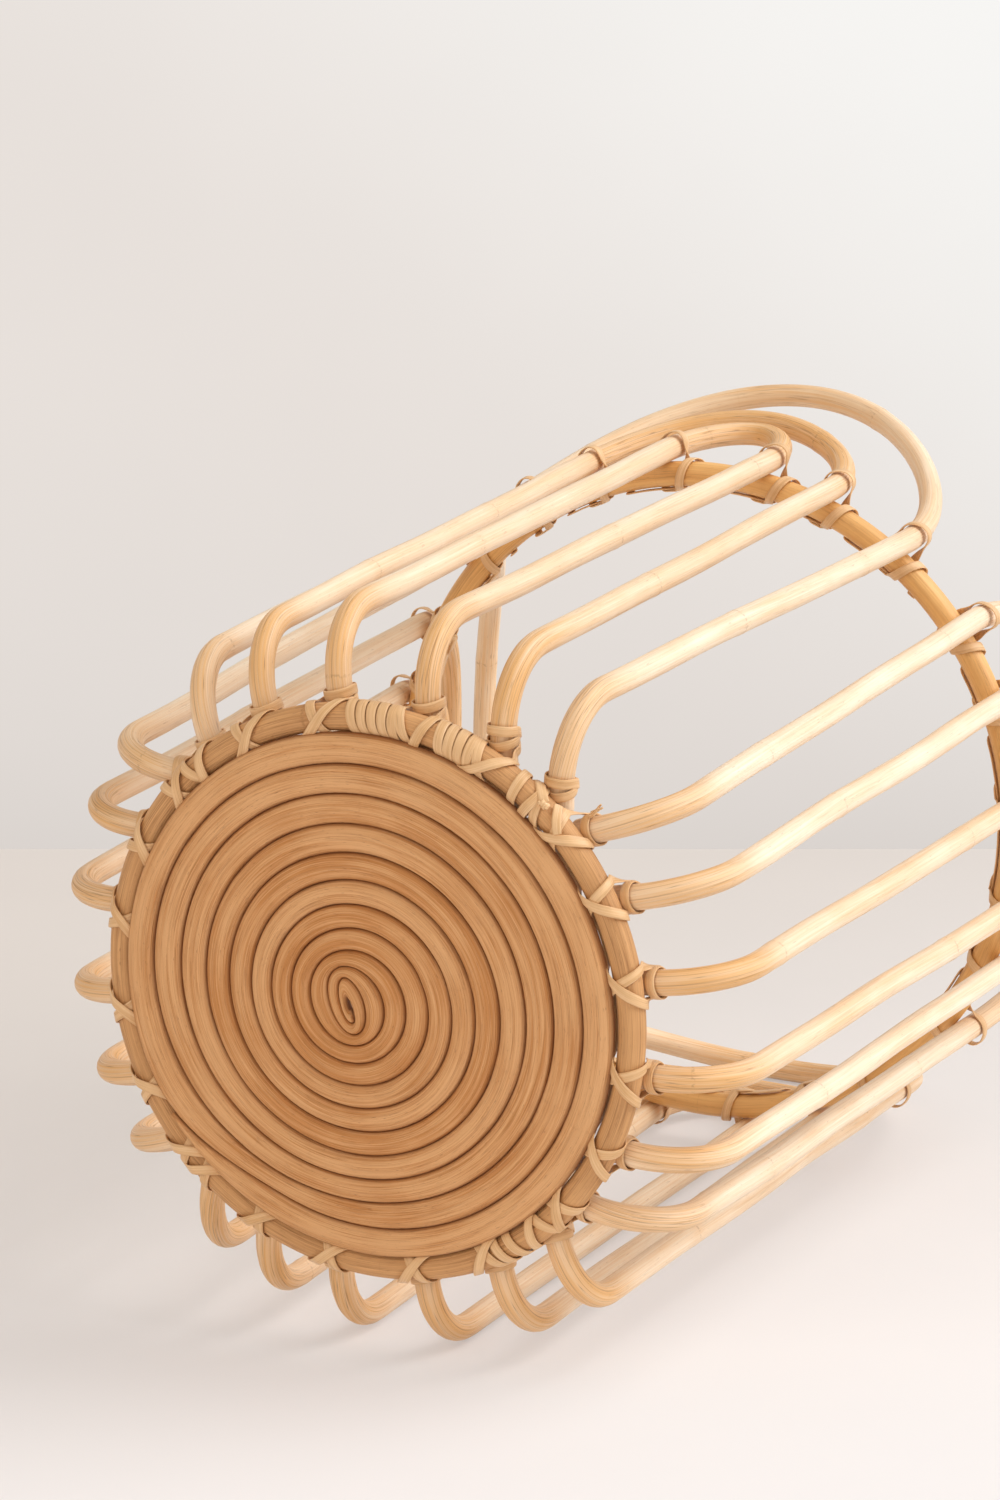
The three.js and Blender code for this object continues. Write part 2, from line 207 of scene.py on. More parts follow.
# Lamps: the way to each as shares of the camera's right, up and back, the spread of its disc in degrees, its
# strength and its tone; and the light from all round, warm on the basket and pale where the camera sees it
KEY_LAMP = ((0.78, 0.66, 0.22), 55, 2.85, (1.0, 1.0, 1.0))
FILL_LAMP = ((-0.5, 0.2, 0.85), 55, 0.86, (1.0, 0.84, 0.66))
LAMP_DISTANCE = 3
ROOM_TONE, ROOM_STRENGTH = (1.0, 0.91, 0.80, 1), 0.42
SKY_TONE, SKY_STRENGTH = (0.82, 0.79, 0.77, 1), 1.0


def length(name, description, default):
    """A size in metres that a user may change"""
    kind = {"precision": 4, "unit": "LENGTH", "subtype": "DISTANCE"}
    return bpy.props.FloatProperty(name=name, description=description, default=default, min=0.0, **kind)


def colour(name, description, default):
    """A colour that a user may change, in linear light"""
    kind = {"min": 0.0, "max": 1.0, "size": 3, "subtype": "COLOR"}
    return bpy.props.FloatVectorProperty(name=name, description=description, default=default, **kind)


def factor(name, description, default):
    """A plain number that a user may change"""
    kind = {"min": 0.0, "subtype": "FACTOR"}
    return bpy.props.FloatProperty(name=name, description=description, default=default, **kind)


class BasketSizes(bpy.types.PropertyGroup):
    """Sizes of the basket's pieces"""

    base_ring_radius: length("Base ring radius", "From the axis to the middle of the base ring's pole", 0.130)
    base_ring_pole: length("Base ring pole", "Thickness of the base ring", 0.013)
    top_ring_radius: length("Top ring radius", "From the axis to the middle of the top ring's pole", 0.169)
    top_ring_pole: length("Top ring pole", "Thickness of the top ring", 0.013)
    top_ring_rise: length("Top ring rise", "Height of the top ring over the base ring", 0.377)
    rod_thickness: length("Rod thickness", "Thickness of the rods that make the ribs and arches", 0.012)
    wall_foot_radius: length("Wall foot radius", "From the axis to the corner where the ribs turn up", 0.1725)
    bend_radius: length("Bend radius", "Radius of the bend at the foot of the wall", 0.032)
    foot_pair_gap: length("Foot gap", "Between the outer feet of neighbouring sides", 0.0016)
    foot_tail: length("Foot tail", "How far the inner and middle feet reach in over the base ring", 0.006)
    arch_rise_inner: length("Inner arch rise", "Height of the inner arches over the top ring", 0.051)
    arch_rise_middle: length("Middle arch rise", "Height of the middle arches over the top ring", 0.070)
    arch_rise_outer: length("Outer arch rise", "Height of the outer arches over the top ring", 0.122)
    arch_lean_middle: length("Middle arch lean", "How far the middle arches lean outwards", 0.002)
    arch_lean_outer: length("Outer arch lean", "How far the outer arches lean outwards", 0.007)
    coil_above: length("Spiral above", "From the spiral's widest level up to its top", 0.0055)
    coil_below: length("Spiral below", "From the spiral's widest level down to the ground", 0.0044)
    coil_sink: length("Spiral sink", "How much lower the spiral lies than the base ring", 0.0051)
    coil_pole_inner: length("Spiral pole at the eye", "Width of the innermost strand", 0.01035)
    coil_pole_outer: length("Spiral pole at the ring", "Width of the outermost strand", 0.0138)
    coil_radius: length("Spiral radius", "From the axis to the outer edge of the spiral", 0.1240)
    eye_radius: length("Eye radius", "Radius at which the spiral ends", 0.0042)
    eye_hole: length("Eye hole", "Mean radius of the slit in the eye", 0.0017)
    strip_width: length("Strip width", "Width of the binding strips", 0.0048)
    strip_thickness: length("Strip thickness", "Thickness of the binding strips", 0.0009)
    clearance: length("Clearance", "Between pieces that touch", 0.0003)
    wander: length("Rod wander", "How far a rod strays from its even line", 0.0006)
    swelling: factor("Growth ring swelling", "Share by which a pole is thicker at a growth ring", 0.035)


class BasketColours(bpy.types.PropertyGroup):
    """Colours of the basket and of the studio, in linear light"""

    rod_pale: colour("Rod, pale", "Pale grain of the rods", (0.96, 0.86, 0.71))
    rod_warm: colour("Rod, warm", "Warmer grain of the rods", (0.76, 0.44, 0.18))
    ring_pale: colour("Base ring, pale", "Pale grain of the base ring", (0.71, 0.395, 0.17))
    ring_warm: colour("Base ring, warm", "Warmer grain of the base ring", (0.47, 0.23, 0.085))
    top_pale: colour("Top ring, pale", "Pale grain of the top ring", (0.86, 0.51, 0.19))
    top_warm: colour("Top ring, warm", "Warmer grain of the top ring", (0.66, 0.33, 0.10))
    coil_pale: colour("Spiral, pale", "Pale grain of the spiral", (0.74, 0.415, 0.19))
    coil_warm: colour("Spiral, warm", "Warmer grain of the spiral", (0.56, 0.24, 0.07))
    strip_pale: colour("Strip, pale", "Pale grain of the binding strips", (0.83, 0.57, 0.325))
    strip_warm: colour("Strip, warm", "Warmer grain of the binding strips", (0.63, 0.35, 0.14))
    # Besides pores and fibre lines, this colour is the painted shade in the spiral's grooves
    pore_and_groove_shade: colour("Pore", "Dark pores and fibre lines", (0.20, 0.06, 0.013))
    # Painted light and shade: the floor is painted darker far off and lighter near the camera and to the
    # right
    floor_near: colour("Floor, near", "Floor near the camera", (0.925, 0.90, 0.905))
    floor_far_shaded: colour("Floor, far", "Floor at the wall's foot", (0.71, 0.66, 0.625))
    # Painted light and shade: the wall is painted darker on the left and lighter towards the top right
    wall_shaded_left: colour("Wall, left", "Left side of the wall", (0.81, 0.755, 0.715))
    wall_lit_right: colour("Wall, right", "Right side of the wall", (0.94, 0.93, 0.91))


# Vectors and lines


def unit(vectors):
    """Each vector divided by its own length"""
    return vectors / np.linalg.norm(vectors, axis=-1, keepdims=True)


def polar(radius, angle, height):
    """Points at a distance from the axis, an angle in radians round it, and a height"""
    radius, angle, height = np.broadcast_arrays(radius, angle, height)
    return np.stack([radius * np.cos(angle), radius * np.sin(angle), height], axis=-1).astype(float)


def smoothstep(low, high, value):
    """0 below low, 1 above high, and the cubic 3x2 - 2x3 of the way between them"""
    x = np.clip((value - low) / (high - low), 0, 1)
    return x * x * (3 - 2 * x)


def lengths_along(points):
    """Length of the line from its start to each of its points"""
    steps = np.linalg.norm(np.diff(points, axis=0), axis=1)
    return np.concatenate([[0.0], np.cumsum(steps)])


def read_along(points, at):
    """Points at the given lengths along a line"""
    known = lengths_along(points)
    return np.stack([np.interp(at, known, points[:, k]) for k in range(3)], axis=1)


def evenly(points, step):
    """The same line with its points at even distances of about one step"""
    total = lengths_along(points)[-1]
    return read_along(points, np.linspace(0, total, max(round(total / step), 2) + 1))


def softened(points, reach):
    """Each point averaged with its neighbours under a bell curve; the line goes on mirrored beyond its
    ends"""
    count = int(3 * reach) + 1
    bell = np.exp(-0.5 * (np.arange(-count, count + 1) / reach) ** 2)
    before = 2 * points[0] - points[count:0:-1]
    after = 2 * points[-1] - points[-2 : -count - 2 : -1]
    padded = np.concatenate([before, points, after])
    columns = range(points.shape[1])
    return np.stack([np.convolve(padded[:, k], bell / bell.sum(), mode="valid") for k in columns], axis=1)


def through(points, steps):
    """A Catmull-Rom curve: between two points, the cubic whose slopes come from the points on either side"""
    padded = np.concatenate([[2 * points[0] - points[1]], points, [2 * points[-1] - points[-2]]])
    t = (np.arange(steps) / steps)[None, :, None]
    a, b, c, d = (padded[i : len(padded) - 3 + i, None, :] for i in range(4))
    curve = 0.5 * (2 * b + (c - a) * t + (2 * a - 5 * b + 4 * c - d) * t**2 + (3 * b - a - 3 * c + d) * t**3)
    return np.concatenate([curve.reshape(-1, points.shape[1]), points[-1:]])


def drifting(along, seed, wave, size):
    """A slow wander: the mean of three sine waves of about the given wavelength, times the size"""
    rng = np.random.default_rng(seed)
    waves = wave * rng.uniform(0.6, 1.7, 3)
    return size * np.sin(2 * pi * along[:, None] / waves + rng.uniform(0, 2 * pi, 3)).mean(axis=1)


def superellipse(half_out, half_across, power, count):
    """Points of |x/a|^p + |y/b|^p = 1, anticlockwise from the outer side"""
    angle = 2 * pi * np.arange(count) / count
    c, s = np.cos(angle), np.sin(angle)
    x = np.sign(c) * np.abs(c) ** (2 / power)
    y = np.sign(s) * np.abs(s) ** (2 / power)
    return np.stack([half_out * x, half_across * y], axis=-1)


# Surfaces


def on_points(rows, closed):
    """Values of the rows' points in one list. The two middle points of an open skin get the means of its
    first and last row."""
    values = rows.reshape(-1, *rows.shape[2:])
    return values if closed else np.concatenate([values, rows[:1].mean(axis=1), rows[-1:].mean(axis=1)])


def skin(rows, grain, growth, tint, strain, closed=False):
    """A skin over rows of points. Each row closes on itself and joins the next; a closed skin joins its last
    row to its first, and an open one gets a middle point at each end. The other values are attributes of the
    points."""
    count, around = rows.shape[:2]
    here = (np.arange(count if closed else count - 1) * around)[:, None]
    there = (here + around) % (count * around)
    j = np.arange(around)
    k = (j + 1) % around
    quads = np.stack([here + j, here + k, there + k, there + j], axis=-1).reshape(-1, 4)
    triangles = np.empty((0, 3), dtype=int)
    if not closed:
        first, end = count * around, (count - 1) * around
        start_fan = np.stack([np.full(around, first), k, j], axis=-1)
        end_fan = np.stack([np.full(around, first + 1), end + j, end + k], axis=-1)
        triangles = np.concatenate([start_fan, end_fan])
    surface = SimpleNamespace(points=on_points(rows, closed), quads=quads, triangles=triangles)
    surface.grain = on_points(grain, closed)
    surface.growth, surface.tint, surface.strain = (
        on_points(np.broadcast_to(values, (count, around)), closed) for values in (growth, tint, strain)
    )
    return surface


def with_length(along, profile):
    """The grain of a carried profile: the length along the path and the two profile coordinates"""
    return np.concatenate([np.broadcast_to(along[:, None, None], profile.shape[:2] + (1,)), profile], axis=-1)


def carried(path, normals, profile, closed=False, rounding=0.0, growth=None, tint=0.5, strain=0.0):
    """A profile carried along a path. A profile point (a, b) lies at path + a * normal + b * (way x normal).
    The ends are rounded over: three more rows shrink and move out on a quarter circle of the given radius."""
    if closed:
        ways = unit(np.roll(path, -1, axis=0) - np.roll(path, 1, axis=0))
    else:
        ways = unit(np.gradient(path, axis=0))
    normals = unit(normals - (normals * ways).sum(axis=1, keepdims=True) * ways)
    across = np.cross(ways, normals)
    profile = np.broadcast_to(profile, (len(path),) + profile.shape[-2:])
    rows = path[:, None] + profile[..., :1] * normals[:, None] + profile[..., 1:] * across[:, None]
    along = lengths_along(path)
    grain = with_length(along, profile)
    marks = growth_marks(along, growth)
    strain = np.broadcast_to(strain, marks.shape)
    if rounding:
        angle = np.array([pi / 6, pi / 3, pi / 2])[:, None, None]
        shrink = 1 - rounding / np.abs(profile[0]).max() * (1 - np.cos(angle))
        shift = rounding * np.sin(angle)
        head = path[0] + (rows[0] - path[0]) * shrink - ways[0] * shift
        tail = path[-1] + (rows[-1] - path[-1]) * shrink + ways[-1] * shift
        rows = np.concatenate([head[::-1], rows, tail])
        grain = np.pad(grain, ((3, 3), (0, 0), (0, 0)), mode="edge")
        marks, strain = np.pad(marks, 3, mode="edge"), np.pad(strain, 3, mode="edge")
    return skin(rows, grain, marks[:, None], tint, strain[:, None], closed)


def growth_marks(along, growth):
    """Distance along the pole to the nearest growth ring, with its sign, cut off at the mark's reach"""
    if growth is None or len(growth) == 0:
        return np.full(len(along), MARK_REACH)
    away = along[:, None] - growth[None, :]
    nearest = np.abs(away).argmin(axis=1)
    return np.clip(away[np.arange(len(along)), nearest], -MARK_REACH, MARK_REACH)


def growth_rings(total, seed, spacing):
    """Places of the growth rings on a pole: steps of the spacing times 0.55 to 1.45, added up"""
    rng = np.random.default_rng(seed)
    steps = spacing * rng.uniform(0.55, 1.45, ceil(total / spacing * 2) + 2)
    places = np.cumsum(steps) - spacing * rng.uniform(0.2, 0.8)
    return places[(places > RING_MARGIN) & (places < total - RING_MARGIN)]


def ring_bumps(along, growth, swelling):
    """How much a pole is thicker near a growth ring: the swelling times exp(-(distance / bump width)^2)"""
    return swelling * np.exp(-((growth_marks(along, growth) / BUMP_WIDTH) ** 2))


def swollen(along, growth, seed, swelling):
    """Thickness of a pole against its plain one: 1, a slow change of 1.5 percent and a bump at each ring"""
    bumps = ring_bumps(along, growth, swelling) - 0.2 * swelling
    return 1 + drifting(along, seed, wave=0.09, size=0.015) + bumps


def thickened(radius, around, thickness):
    """A round profile for each point of a pole, its radius times the thickness there"""
    return superellipse(radius, radius, power=2, count=around)[None] * thickness[:, None, None]


def new_object(name, points, faces, material, **attributes):
    """An object in the scene with one mesh, and with attributes of the mesh's points"""
    mesh = bpy.data.meshes.new(name)
    mesh.from_pydata(points.tolist(), [], faces)
    for key, values in attributes.items():
        kind, field = ATTRIBUTE_KINDS[key]
        layer = mesh.attributes.new(key, kind, "POINT")
        layer.data.foreach_set(field, np.ascontiguousarray(values, np.float32).ravel())
    mesh.materials.append(material)
    made = bpy.data.objects.new(name, mesh)
    bpy.context.scene.collection.objects.link(made)
    return made


def add_piece(name, surfaces, material, nodes):
    """One smooth piece of the basket from several surfaces, in place of the frame's nodes"""
    starts = np.cumsum([0] + [len(each.points) for each in surfaces[:-1]])
    faces = []
    for kind in ("quads", "triangles"):
        for surface, start in zip(surfaces, starts):
            faces += (getattr(surface, kind) + start).tolist()
    keys = ("points", "grain", "growth", "tint", "strain")
    values = {key: np.concatenate([getattr(each, key) for each in surfaces]) for key in keys}
    piece = new_object(name, values.pop("points"), faces, material, **values)
    piece.data.shade_smooth()
    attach(piece, "root")
    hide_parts(*nodes)


# Shape of the basket


def worked_out(sizes):
    """Sizes that follow from the basket's own: radii, heights, and how far a strip's middle is from a
    pole's"""
    plan = SimpleNamespace(sizes=sizes)
    plan.base_r = sizes.base_ring_pole / 2
    plan.top_r = sizes.top_ring_pole / 2
    plan.rod_r = sizes.rod_thickness / 2
    plan.base_z = sizes.coil_below + sizes.coil_sink
    plan.top_z = plan.base_z + sizes.top_ring_rise
    plan.head_radius = sizes.top_ring_radius + plan.top_r + sizes.clearance + plan.rod_r
    plan.foot_z = plan.base_z + (plan.base_r + sizes.clearance + plan.rod_r) / cos(radians(FOOT_SLOPE))
    half_pair = (sizes.rod_thickness + sizes.foot_pair_gap) / 2
    plan.outer_foot = 45 - np.degrees(asin(half_pair / sizes.base_ring_radius))
    plan.rises = {level: getattr(sizes, "arch_rise_" + level) for level in LEVELS}
    plan.leans = {"inner": 0.0, "middle": sizes.arch_lean_middle, "outer": sizes.arch_lean_outer}
    radii = {"base": plan.base_r, "top": plan.top_r, "rod": plan.rod_r}
    beside = sizes.clearance + sizes.strip_thickness / 2
    plan.hug = {key: radius + beside + STRIP_ROOM[key] for key, radius in radii.items()}
    thinned = sizes.coil_pole_inner * np.array(EYE_THINNING)
    wound = sizes.coil_radius - sizes.eye_radius - thinned.sum()
    full = 2 * wound / (sizes.coil_pole_inner + sizes.coil_pole_outer)
    count = round(full)
    poles = np.linspace(sizes.coil_pole_outer, sizes.coil_pole_inner, count) * full / count
    plan.coil_poles = np.concatenate([poles, thinned, thinned[-1] * np.array(EYE_FADING)])
    plan.coil_turns = count + len(thinned) + 0.25
    return plan


def rib_plan(plan, side, rib):
    """Where one rib ends, crosses the base ring, turns up, and crosses the top ring"""
    sizes = plan.sizes
    level = LEVELS[2 - rib] if rib < 3 else LEVELS[rib - 3]
    sign = -1 if rib < 3 else 1
    middle = radians(90 + 90 * side)
    foot = sign * radians(FOOT_ANGLES.get(level, plan.outer_foot))
    head = middle + radians(sign * HEAD_ANGLES[level] + HEAD_SHIFTS[side][rib])
    direction = middle + radians(FOOT_TWIST) + FOOT_FAN * foot
    crossing = polar(sizes.base_ring_radius, middle + foot, plan.foot_z)
    way = np.array([cos(direction), sin(direction), tan(radians(FOOT_SLOPE))])
    along = crossing[:2] @ way[:2]
    reach = -along + sqrt(along**2 - sizes.base_ring_radius**2 + sizes.wall_foot_radius**2)
    tail = 0.0 if level == "outer" else sizes.foot_tail
    return SimpleNamespace(
        level=level,
        ring_angle=middle + foot,
        head_angle=head,
        crossing=crossing,
        end=crossing - way * tail,
        corner=crossing + way * reach,
        head=polar(plan.head_radius, head, plan.top_z),
    )


def rounded_corner(before, corner, after, radius, count):
    """The arc that rounds a corner: from its start, sin(a) on along the way in and 1 - cos(a) to the side"""
    into = unit(corner - before)
    out_of = unit(after - corner)
    turn = np.arccos(np.clip(into @ out_of, -1, 1))
    start = corner - into * radius * tan(turn / 2)
    side = unit(out_of - (out_of @ into) * into)
    a = np.linspace(0, turn, count)[:, None]
    return start + radius * (np.sin(a) * into + (1 - np.cos(a)) * side)


def arch_points(plan, level, head_a, head_b, u):
    """The arch between two heads: half an ellipse laid on the wall, its shoulders drawn in a little. The
    angle round the axis is the middle - half * cos u * (1 - shoulder * sin2 u), the radius the heads' + lean
    * sin u, and the height the top ring's + rise * sin u."""
    middle, half = (head_a + head_b) / 2, (head_b - head_a) / 2
    angle = middle - half * np.cos(u) * (1 - ARCH_SHOULDER * np.sin(u) ** 2)
    radius = plan.head_radius + plan.leans[level] * np.sin(u)
    return polar(radius, angle, plan.top_z + plan.rises[level] * np.sin(u))


def rod_line(plan, side, level):
    """Centre line of one rod, from its first foot up, over the arch and down to its second foot"""
    numbers = (2 - LEVELS.index(level), 3 + LEVELS.index(level))
    first, second = (rib_plan(plan, side, rib) for rib in numbers)
    legs = []
    for leg in (first, second):
        bend = rounded_corner(leg.end, leg.corner, leg.head, plan.sizes.bend_radius, count=48)
        legs.append(np.concatenate([leg.end[None], bend]))
    arch = arch_points(plan, level, first.head_angle, second.head_angle, np.linspace(0, pi, 160))
    line = np.concatenate([legs[0], arch, legs[1][::-1]])
    return softened(evenly(line, step=0.001), reach=4)


def rod_normals(path):
    """The way out of the basket at each point of a rod. On the wall it is square to the axis. On the legs it
    is the way along the rod turned a quarter: its upward part times the radial way, minus its radial part
    times up. One passes into the other between 0.15 and 0.30 up."""
    ways = unit(np.gradient(path, axis=0))
    radial = unit(path * [1, 1, 0])
    along_radial = (ways * radial).sum(axis=1, keepdims=True)
    climbing = np.where(np.arange(len(path)) < len(path) / 2, 1, -1)[:, None]
    leg = climbing * (ways[:, 2:] * radial - along_radial * UP)
    high = smoothstep(0.15, 0.30, path[:, 2:])
    return leg * (1 - high) + radial * high


def bending(path):
    """Curvature of a line: how fast its direction changes with the length along it"""
    ways = unit(np.gradient(path, axis=0))
    change = np.linalg.norm(np.gradient(ways, axis=0), axis=1)
    return change / np.maximum(np.gradient(lengths_along(path)), 1e-6)


def rod_surface(plan, side, level):
    """One rod: its line made to wander between the crossings, and a circle carried along it. It is bound, and
    keeps its place, within 15 mm of the top ring and within 35 mm of its ends."""
    seed = ROD_SEEDS + 10 * side + LEVELS.index(level)
    path = evenly(rod_line(plan, side, level), ROD_STEP)
    along = lengths_along(path)
    normals = unit(rod_normals(path))
    across = np.cross(unit(np.gradient(path, axis=0)), normals)
    from_top_ring = np.abs(path[:, 2] - plan.top_z)
    from_foot = np.minimum(along, along[-1] - along) - 0.02
    free = smoothstep(0.015, 0.06, np.minimum(from_top_ring, from_foot))[:, None]
    sideways = drifting(along, seed, wave=0.22, size=plan.sizes.wander)[:, None]
    outwards = drifting(along, seed + 500, wave=0.19, size=plan.sizes.wander)[:, None]
    path = path + free * across * sideways
    path = path + free * normals * outwards
    rings = growth_rings(along[-1], seed + 1000, ROD_GROWTH)
    thickness = 1 + (swollen(along, rings, seed, plan.sizes.swelling) - 1) * (0.25 + 0.75 * free[:, 0])
    profile = thickened(plan.rod_r, ROD_AROUND, thickness)
    tint = np.random.default_rng(seed).uniform(0, 1)
    strain = softened(smoothstep(*BENT, bending(path))[:, None], reach=6)[:, 0]
    return carried(path, normals, profile, rounding=ROD_ROUNDING, growth=rings, tint=tint, strain=strain)


def ring_surface(plan, radius, height, pole_radius, seed):
    """A closed ring: a circle carried round the axis, with growth rings and a slow change of thickness. The
    grain runs the same way from the angle of 180 degrees to both sides, so that it meets itself without a
    seam."""
    angle = 2 * pi * np.arange(RING_ROWS) / RING_ROWS
    rings = growth_rings(2 * pi * radius, seed, RING_GROWTH)
    bumps = ring_bumps(angle * radius, rings, plan.sizes.swelling)
    slow = 0.008 * (np.sin(3 * angle + seed) + np.sin(5 * angle + 2 * seed)) - 0.01
    profile = thickened(pole_radius, RING_AROUND, 1 + slow + 0.5 * bumps)
    surface = carried(polar(radius, angle, height), polar(1, angle, 0), profile, closed=True, growth=rings)
    surface.grain[:, 0] = np.repeat(np.abs(angle - pi) * radius, RING_AROUND)
    return surface


def coil_inset(plan, turns):
    """How far the spiral's edge has come in after so many turns from the tail: for each turn k, one pole
    times x - sin(2 pi x) / 2 pi, with x rising from 0 to 1 round turn k"""
    inset = np.zeros_like(turns)
    for k, pole in enumerate(plan.coil_poles, start=1):
        width = min(2, STEP_TURNS + STEP_GROWTH * (k - 1))
        x = np.clip((turns - k) / width + 0.5, 0, 1)
        inset += pole * (x - np.sin(2 * pi * x) / (2 * pi))
    return inset


def coil_edge(plan, turns, angle):
    """From the eye to the spiral's edge along a ray: a circle whose middle drifts from the ring's to the
    eye"""
    radius = plan.sizes.coil_radius - coil_inset(plan, turns)
    drift = hypot(*EYE_PLACE) * np.clip(1 - turns / plan.coil_turns, 0, 1)
    off = angle - atan2(-EYE_PLACE[1], -EYE_PLACE[0])
    return drift * np.cos(off) + np.sqrt(radius**2 - (drift * np.sin(off)) ** 2)


def drawn_out(points):
    """Points near the eye drawn out along the slit and in across it: with k = exp(-(r / reach)^2) and r the
    distance from the eye, the part along the slit grows by 1 + k * stretch and the part across by 1 - k *
    squeeze"""
    slit = np.array([cos(radians(EYE_ANGLE)), sin(radians(EYE_ANGLE)), 0])
    across = np.array([-slit[1], slit[0], 0])
    near = np.exp(-((np.hypot(points[..., :1], points[..., 1:2]) / EYE_REACH) ** 2))
    longer = (points @ slit)[..., None] * slit * near * EYE_STRETCH
    narrower = (points @ across)[..., None] * across * near * EYE_SQUEEZE
    return points + longer - narrower


def coil_surface(plan):
    """The spiral: a rounded strand between its own outer edge and the next turn's, wound in to the eye. The
    strands are pressed a tenth of a millimetre into each other, so that no light comes through, and narrow
    ones are lower. Its strain attribute holds painted shade: the share of darkening in a groove, 1 where a
    strand meets the next, 0 on its crown and its ends."""
    sizes = plan.sizes
    tip = (TIP_SHARE - 0.5) * STEP_TURNS
    turns = np.linspace(tip, plan.coil_turns - 1 / 24, COIL_ROWS)
    angle = radians(TAIL_ANGLE) - 2 * pi * turns
    outer = coil_edge(plan, turns, angle)
    inner = coil_edge(plan, turns + 1, angle)
    last = turns - plan.coil_turns + 1
    ending = coil_edge(plan, np.full_like(turns, plan.coil_turns), angle)
    closing = np.clip(last / EYE_CLOSING, 0, 1)
    inner = np.where(last > 0, ending + (sizes.eye_hole - ending) * closing, inner)
    half = (outer - inner) / 2
    path = polar((outer + inner) / 2, angle, sizes.coil_below)
    along = lengths_along(path)
    marks = growth_marks(along, growth_rings(along[-1], COIL_SEED, COIL_GROWTH))
    shape = superellipse(1, 1, power=2.0, count=COIL_AROUND)
    upper = shape[:, 1] > 0
    tall = np.where(upper, sizes.coil_above, sizes.coil_below)
    pressed = 0.0001 * (1 + drifting(along, COIL_SEED + 1, wave=0.05, size=1.0))
    pressed = pressed + 0.0002 * np.exp(-((marks / 0.004) ** 2))
    lower = np.clip(half / 0.0045, 0.35, 1)[:, None]
    wide = shape[:, 0] * (half + pressed)[:, None]
    high = shape[:, 1] * tall * np.where(upper, lower, 1)
    profile = np.stack([wide, high], axis=-1)
    rows = path[:, None] + profile[..., :1] * polar(1, angle, 0)[:, None] + profile[..., 1:] * UP
    rows = drawn_out(rows) + np.array([*EYE_PLACE, 0])
    tint = np.clip(along / along[-1] + drifting(along, COIL_SEED + 2, wave=0.8, size=0.6), 0, 1)[:, None]
    # Painted shade: how far a groove between the strands is darkened, greatest where one strand meets the
    # next
    groove_shade = smoothstep(0.8, 1.0, np.abs(shape[::-1, 0]))
    surface = skin(rows[:, ::-1], with_length(along, profile)[:, ::-1], marks[:, None], tint, groove_shade)
    surface.strain[-2:] = 0
    return surface


# Binding strips


def ring_views(plan):
    """The two rings as the strips see them. A pole's section is measured from the way the ribs lead away (0
    degrees) to the way they lie on it (90 degrees), and the strips travel so that these turn right-handed."""

    def outward(angle):
        return polar(1, angle, 0)

    def upward(angle):
        return np.broadcast_to(UP, np.shape(angle) + (3,))

    sizes = plan.sizes
    base = SimpleNamespace(name="base", way=1, run=BASE_RUN, lead=outward, lie=upward)
    top = SimpleNamespace(name="top", way=-1, run=TOP_RUN, lead=upward, lie=outward)
    base.radius, base.height, base.hug = sizes.base_ring_radius, plan.base_z, plan.hug["base"]
    top.radius, top.height, top.hug = sizes.top_ring_radius, plan.top_z, plan.hug["top"]
    return base, top


def on_ring(ring, ring_angle, arc, section, lift=0.0):
    """Stations on a ring's pole: its middle line at the arc's distance from the ring angle, and from there
    the hug plus the lift along the way that the section angle gives, in degrees"""
    arc, section, lift = np.broadcast_arrays(np.asarray(arc, float), np.asarray(section, float), lift)
    angle = ring_angle + ring.way * arc / ring.radius
    c, s = np.cos(np.radians(section))[..., None], np.sin(np.radians(section))[..., None]
    face = c * ring.lead(angle) + s * ring.lie(angle)
    return polar(ring.radius, angle, ring.height) + (ring.hug + lift)[..., None] * face, face


def rib_beyond(plan, ring, number):
    """One rib at a ring: the angle where it crosses the ring, its centre line from there on, away from the
    basket's other end, and the ring's two ways there"""
    side, rib = divmod(number, RIBS_PER_SIDE)
    own = rib_plan(plan, side, rib)
    if ring.name == "base":
        angle = own.ring_angle
        bend = rounded_corner(own.end, own.corner, own.head, plan.sizes.bend_radius, count=40)
        line = np.concatenate([own.crossing[None], bend])
    else:
        angle = own.head_angle
        heads = [rib_plan(plan, side, each).head_angle for each in sorted((rib, 5 - rib))]
        u = np.linspace(0, pi / 2, 60)
        line = arch_points(plan, own.level, *heads, u if rib < 3 else pi - u)
    path = evenly(line, step=0.0005)
    return SimpleNamespace(number=number, angle=angle, path=path, lie=ring.lie(angle), lead=ring.lead(angle))


def round_rib(plan, rib, at, around, lift=0.0):
    """Stations round a rib: at a distance along it from the ring, and an angle round it in degrees from the
    travelling side (0) over the far side (90) to the other side (180)"""
    at, around, lift = np.broadcast_arrays(np.asarray(at, float), np.asarray(around, float), lift)
    way = unit(read_along(rib.path, at + 0.0005) - read_along(rib.path, np.maximum(at - 0.0005, 0)))
    across = np.cross(rib.lie, rib.lead)
    side = unit(across - (way @ across)[:, None] * way)
    c, s = np.cos(np.radians(around))[:, None], np.sin(np.radians(around))[:, None]
    face = c * side + s * np.cross(way, side)
    return read_along(rib.path, at) + (plan.hug["rod"] + lift)[:, None] * face, face


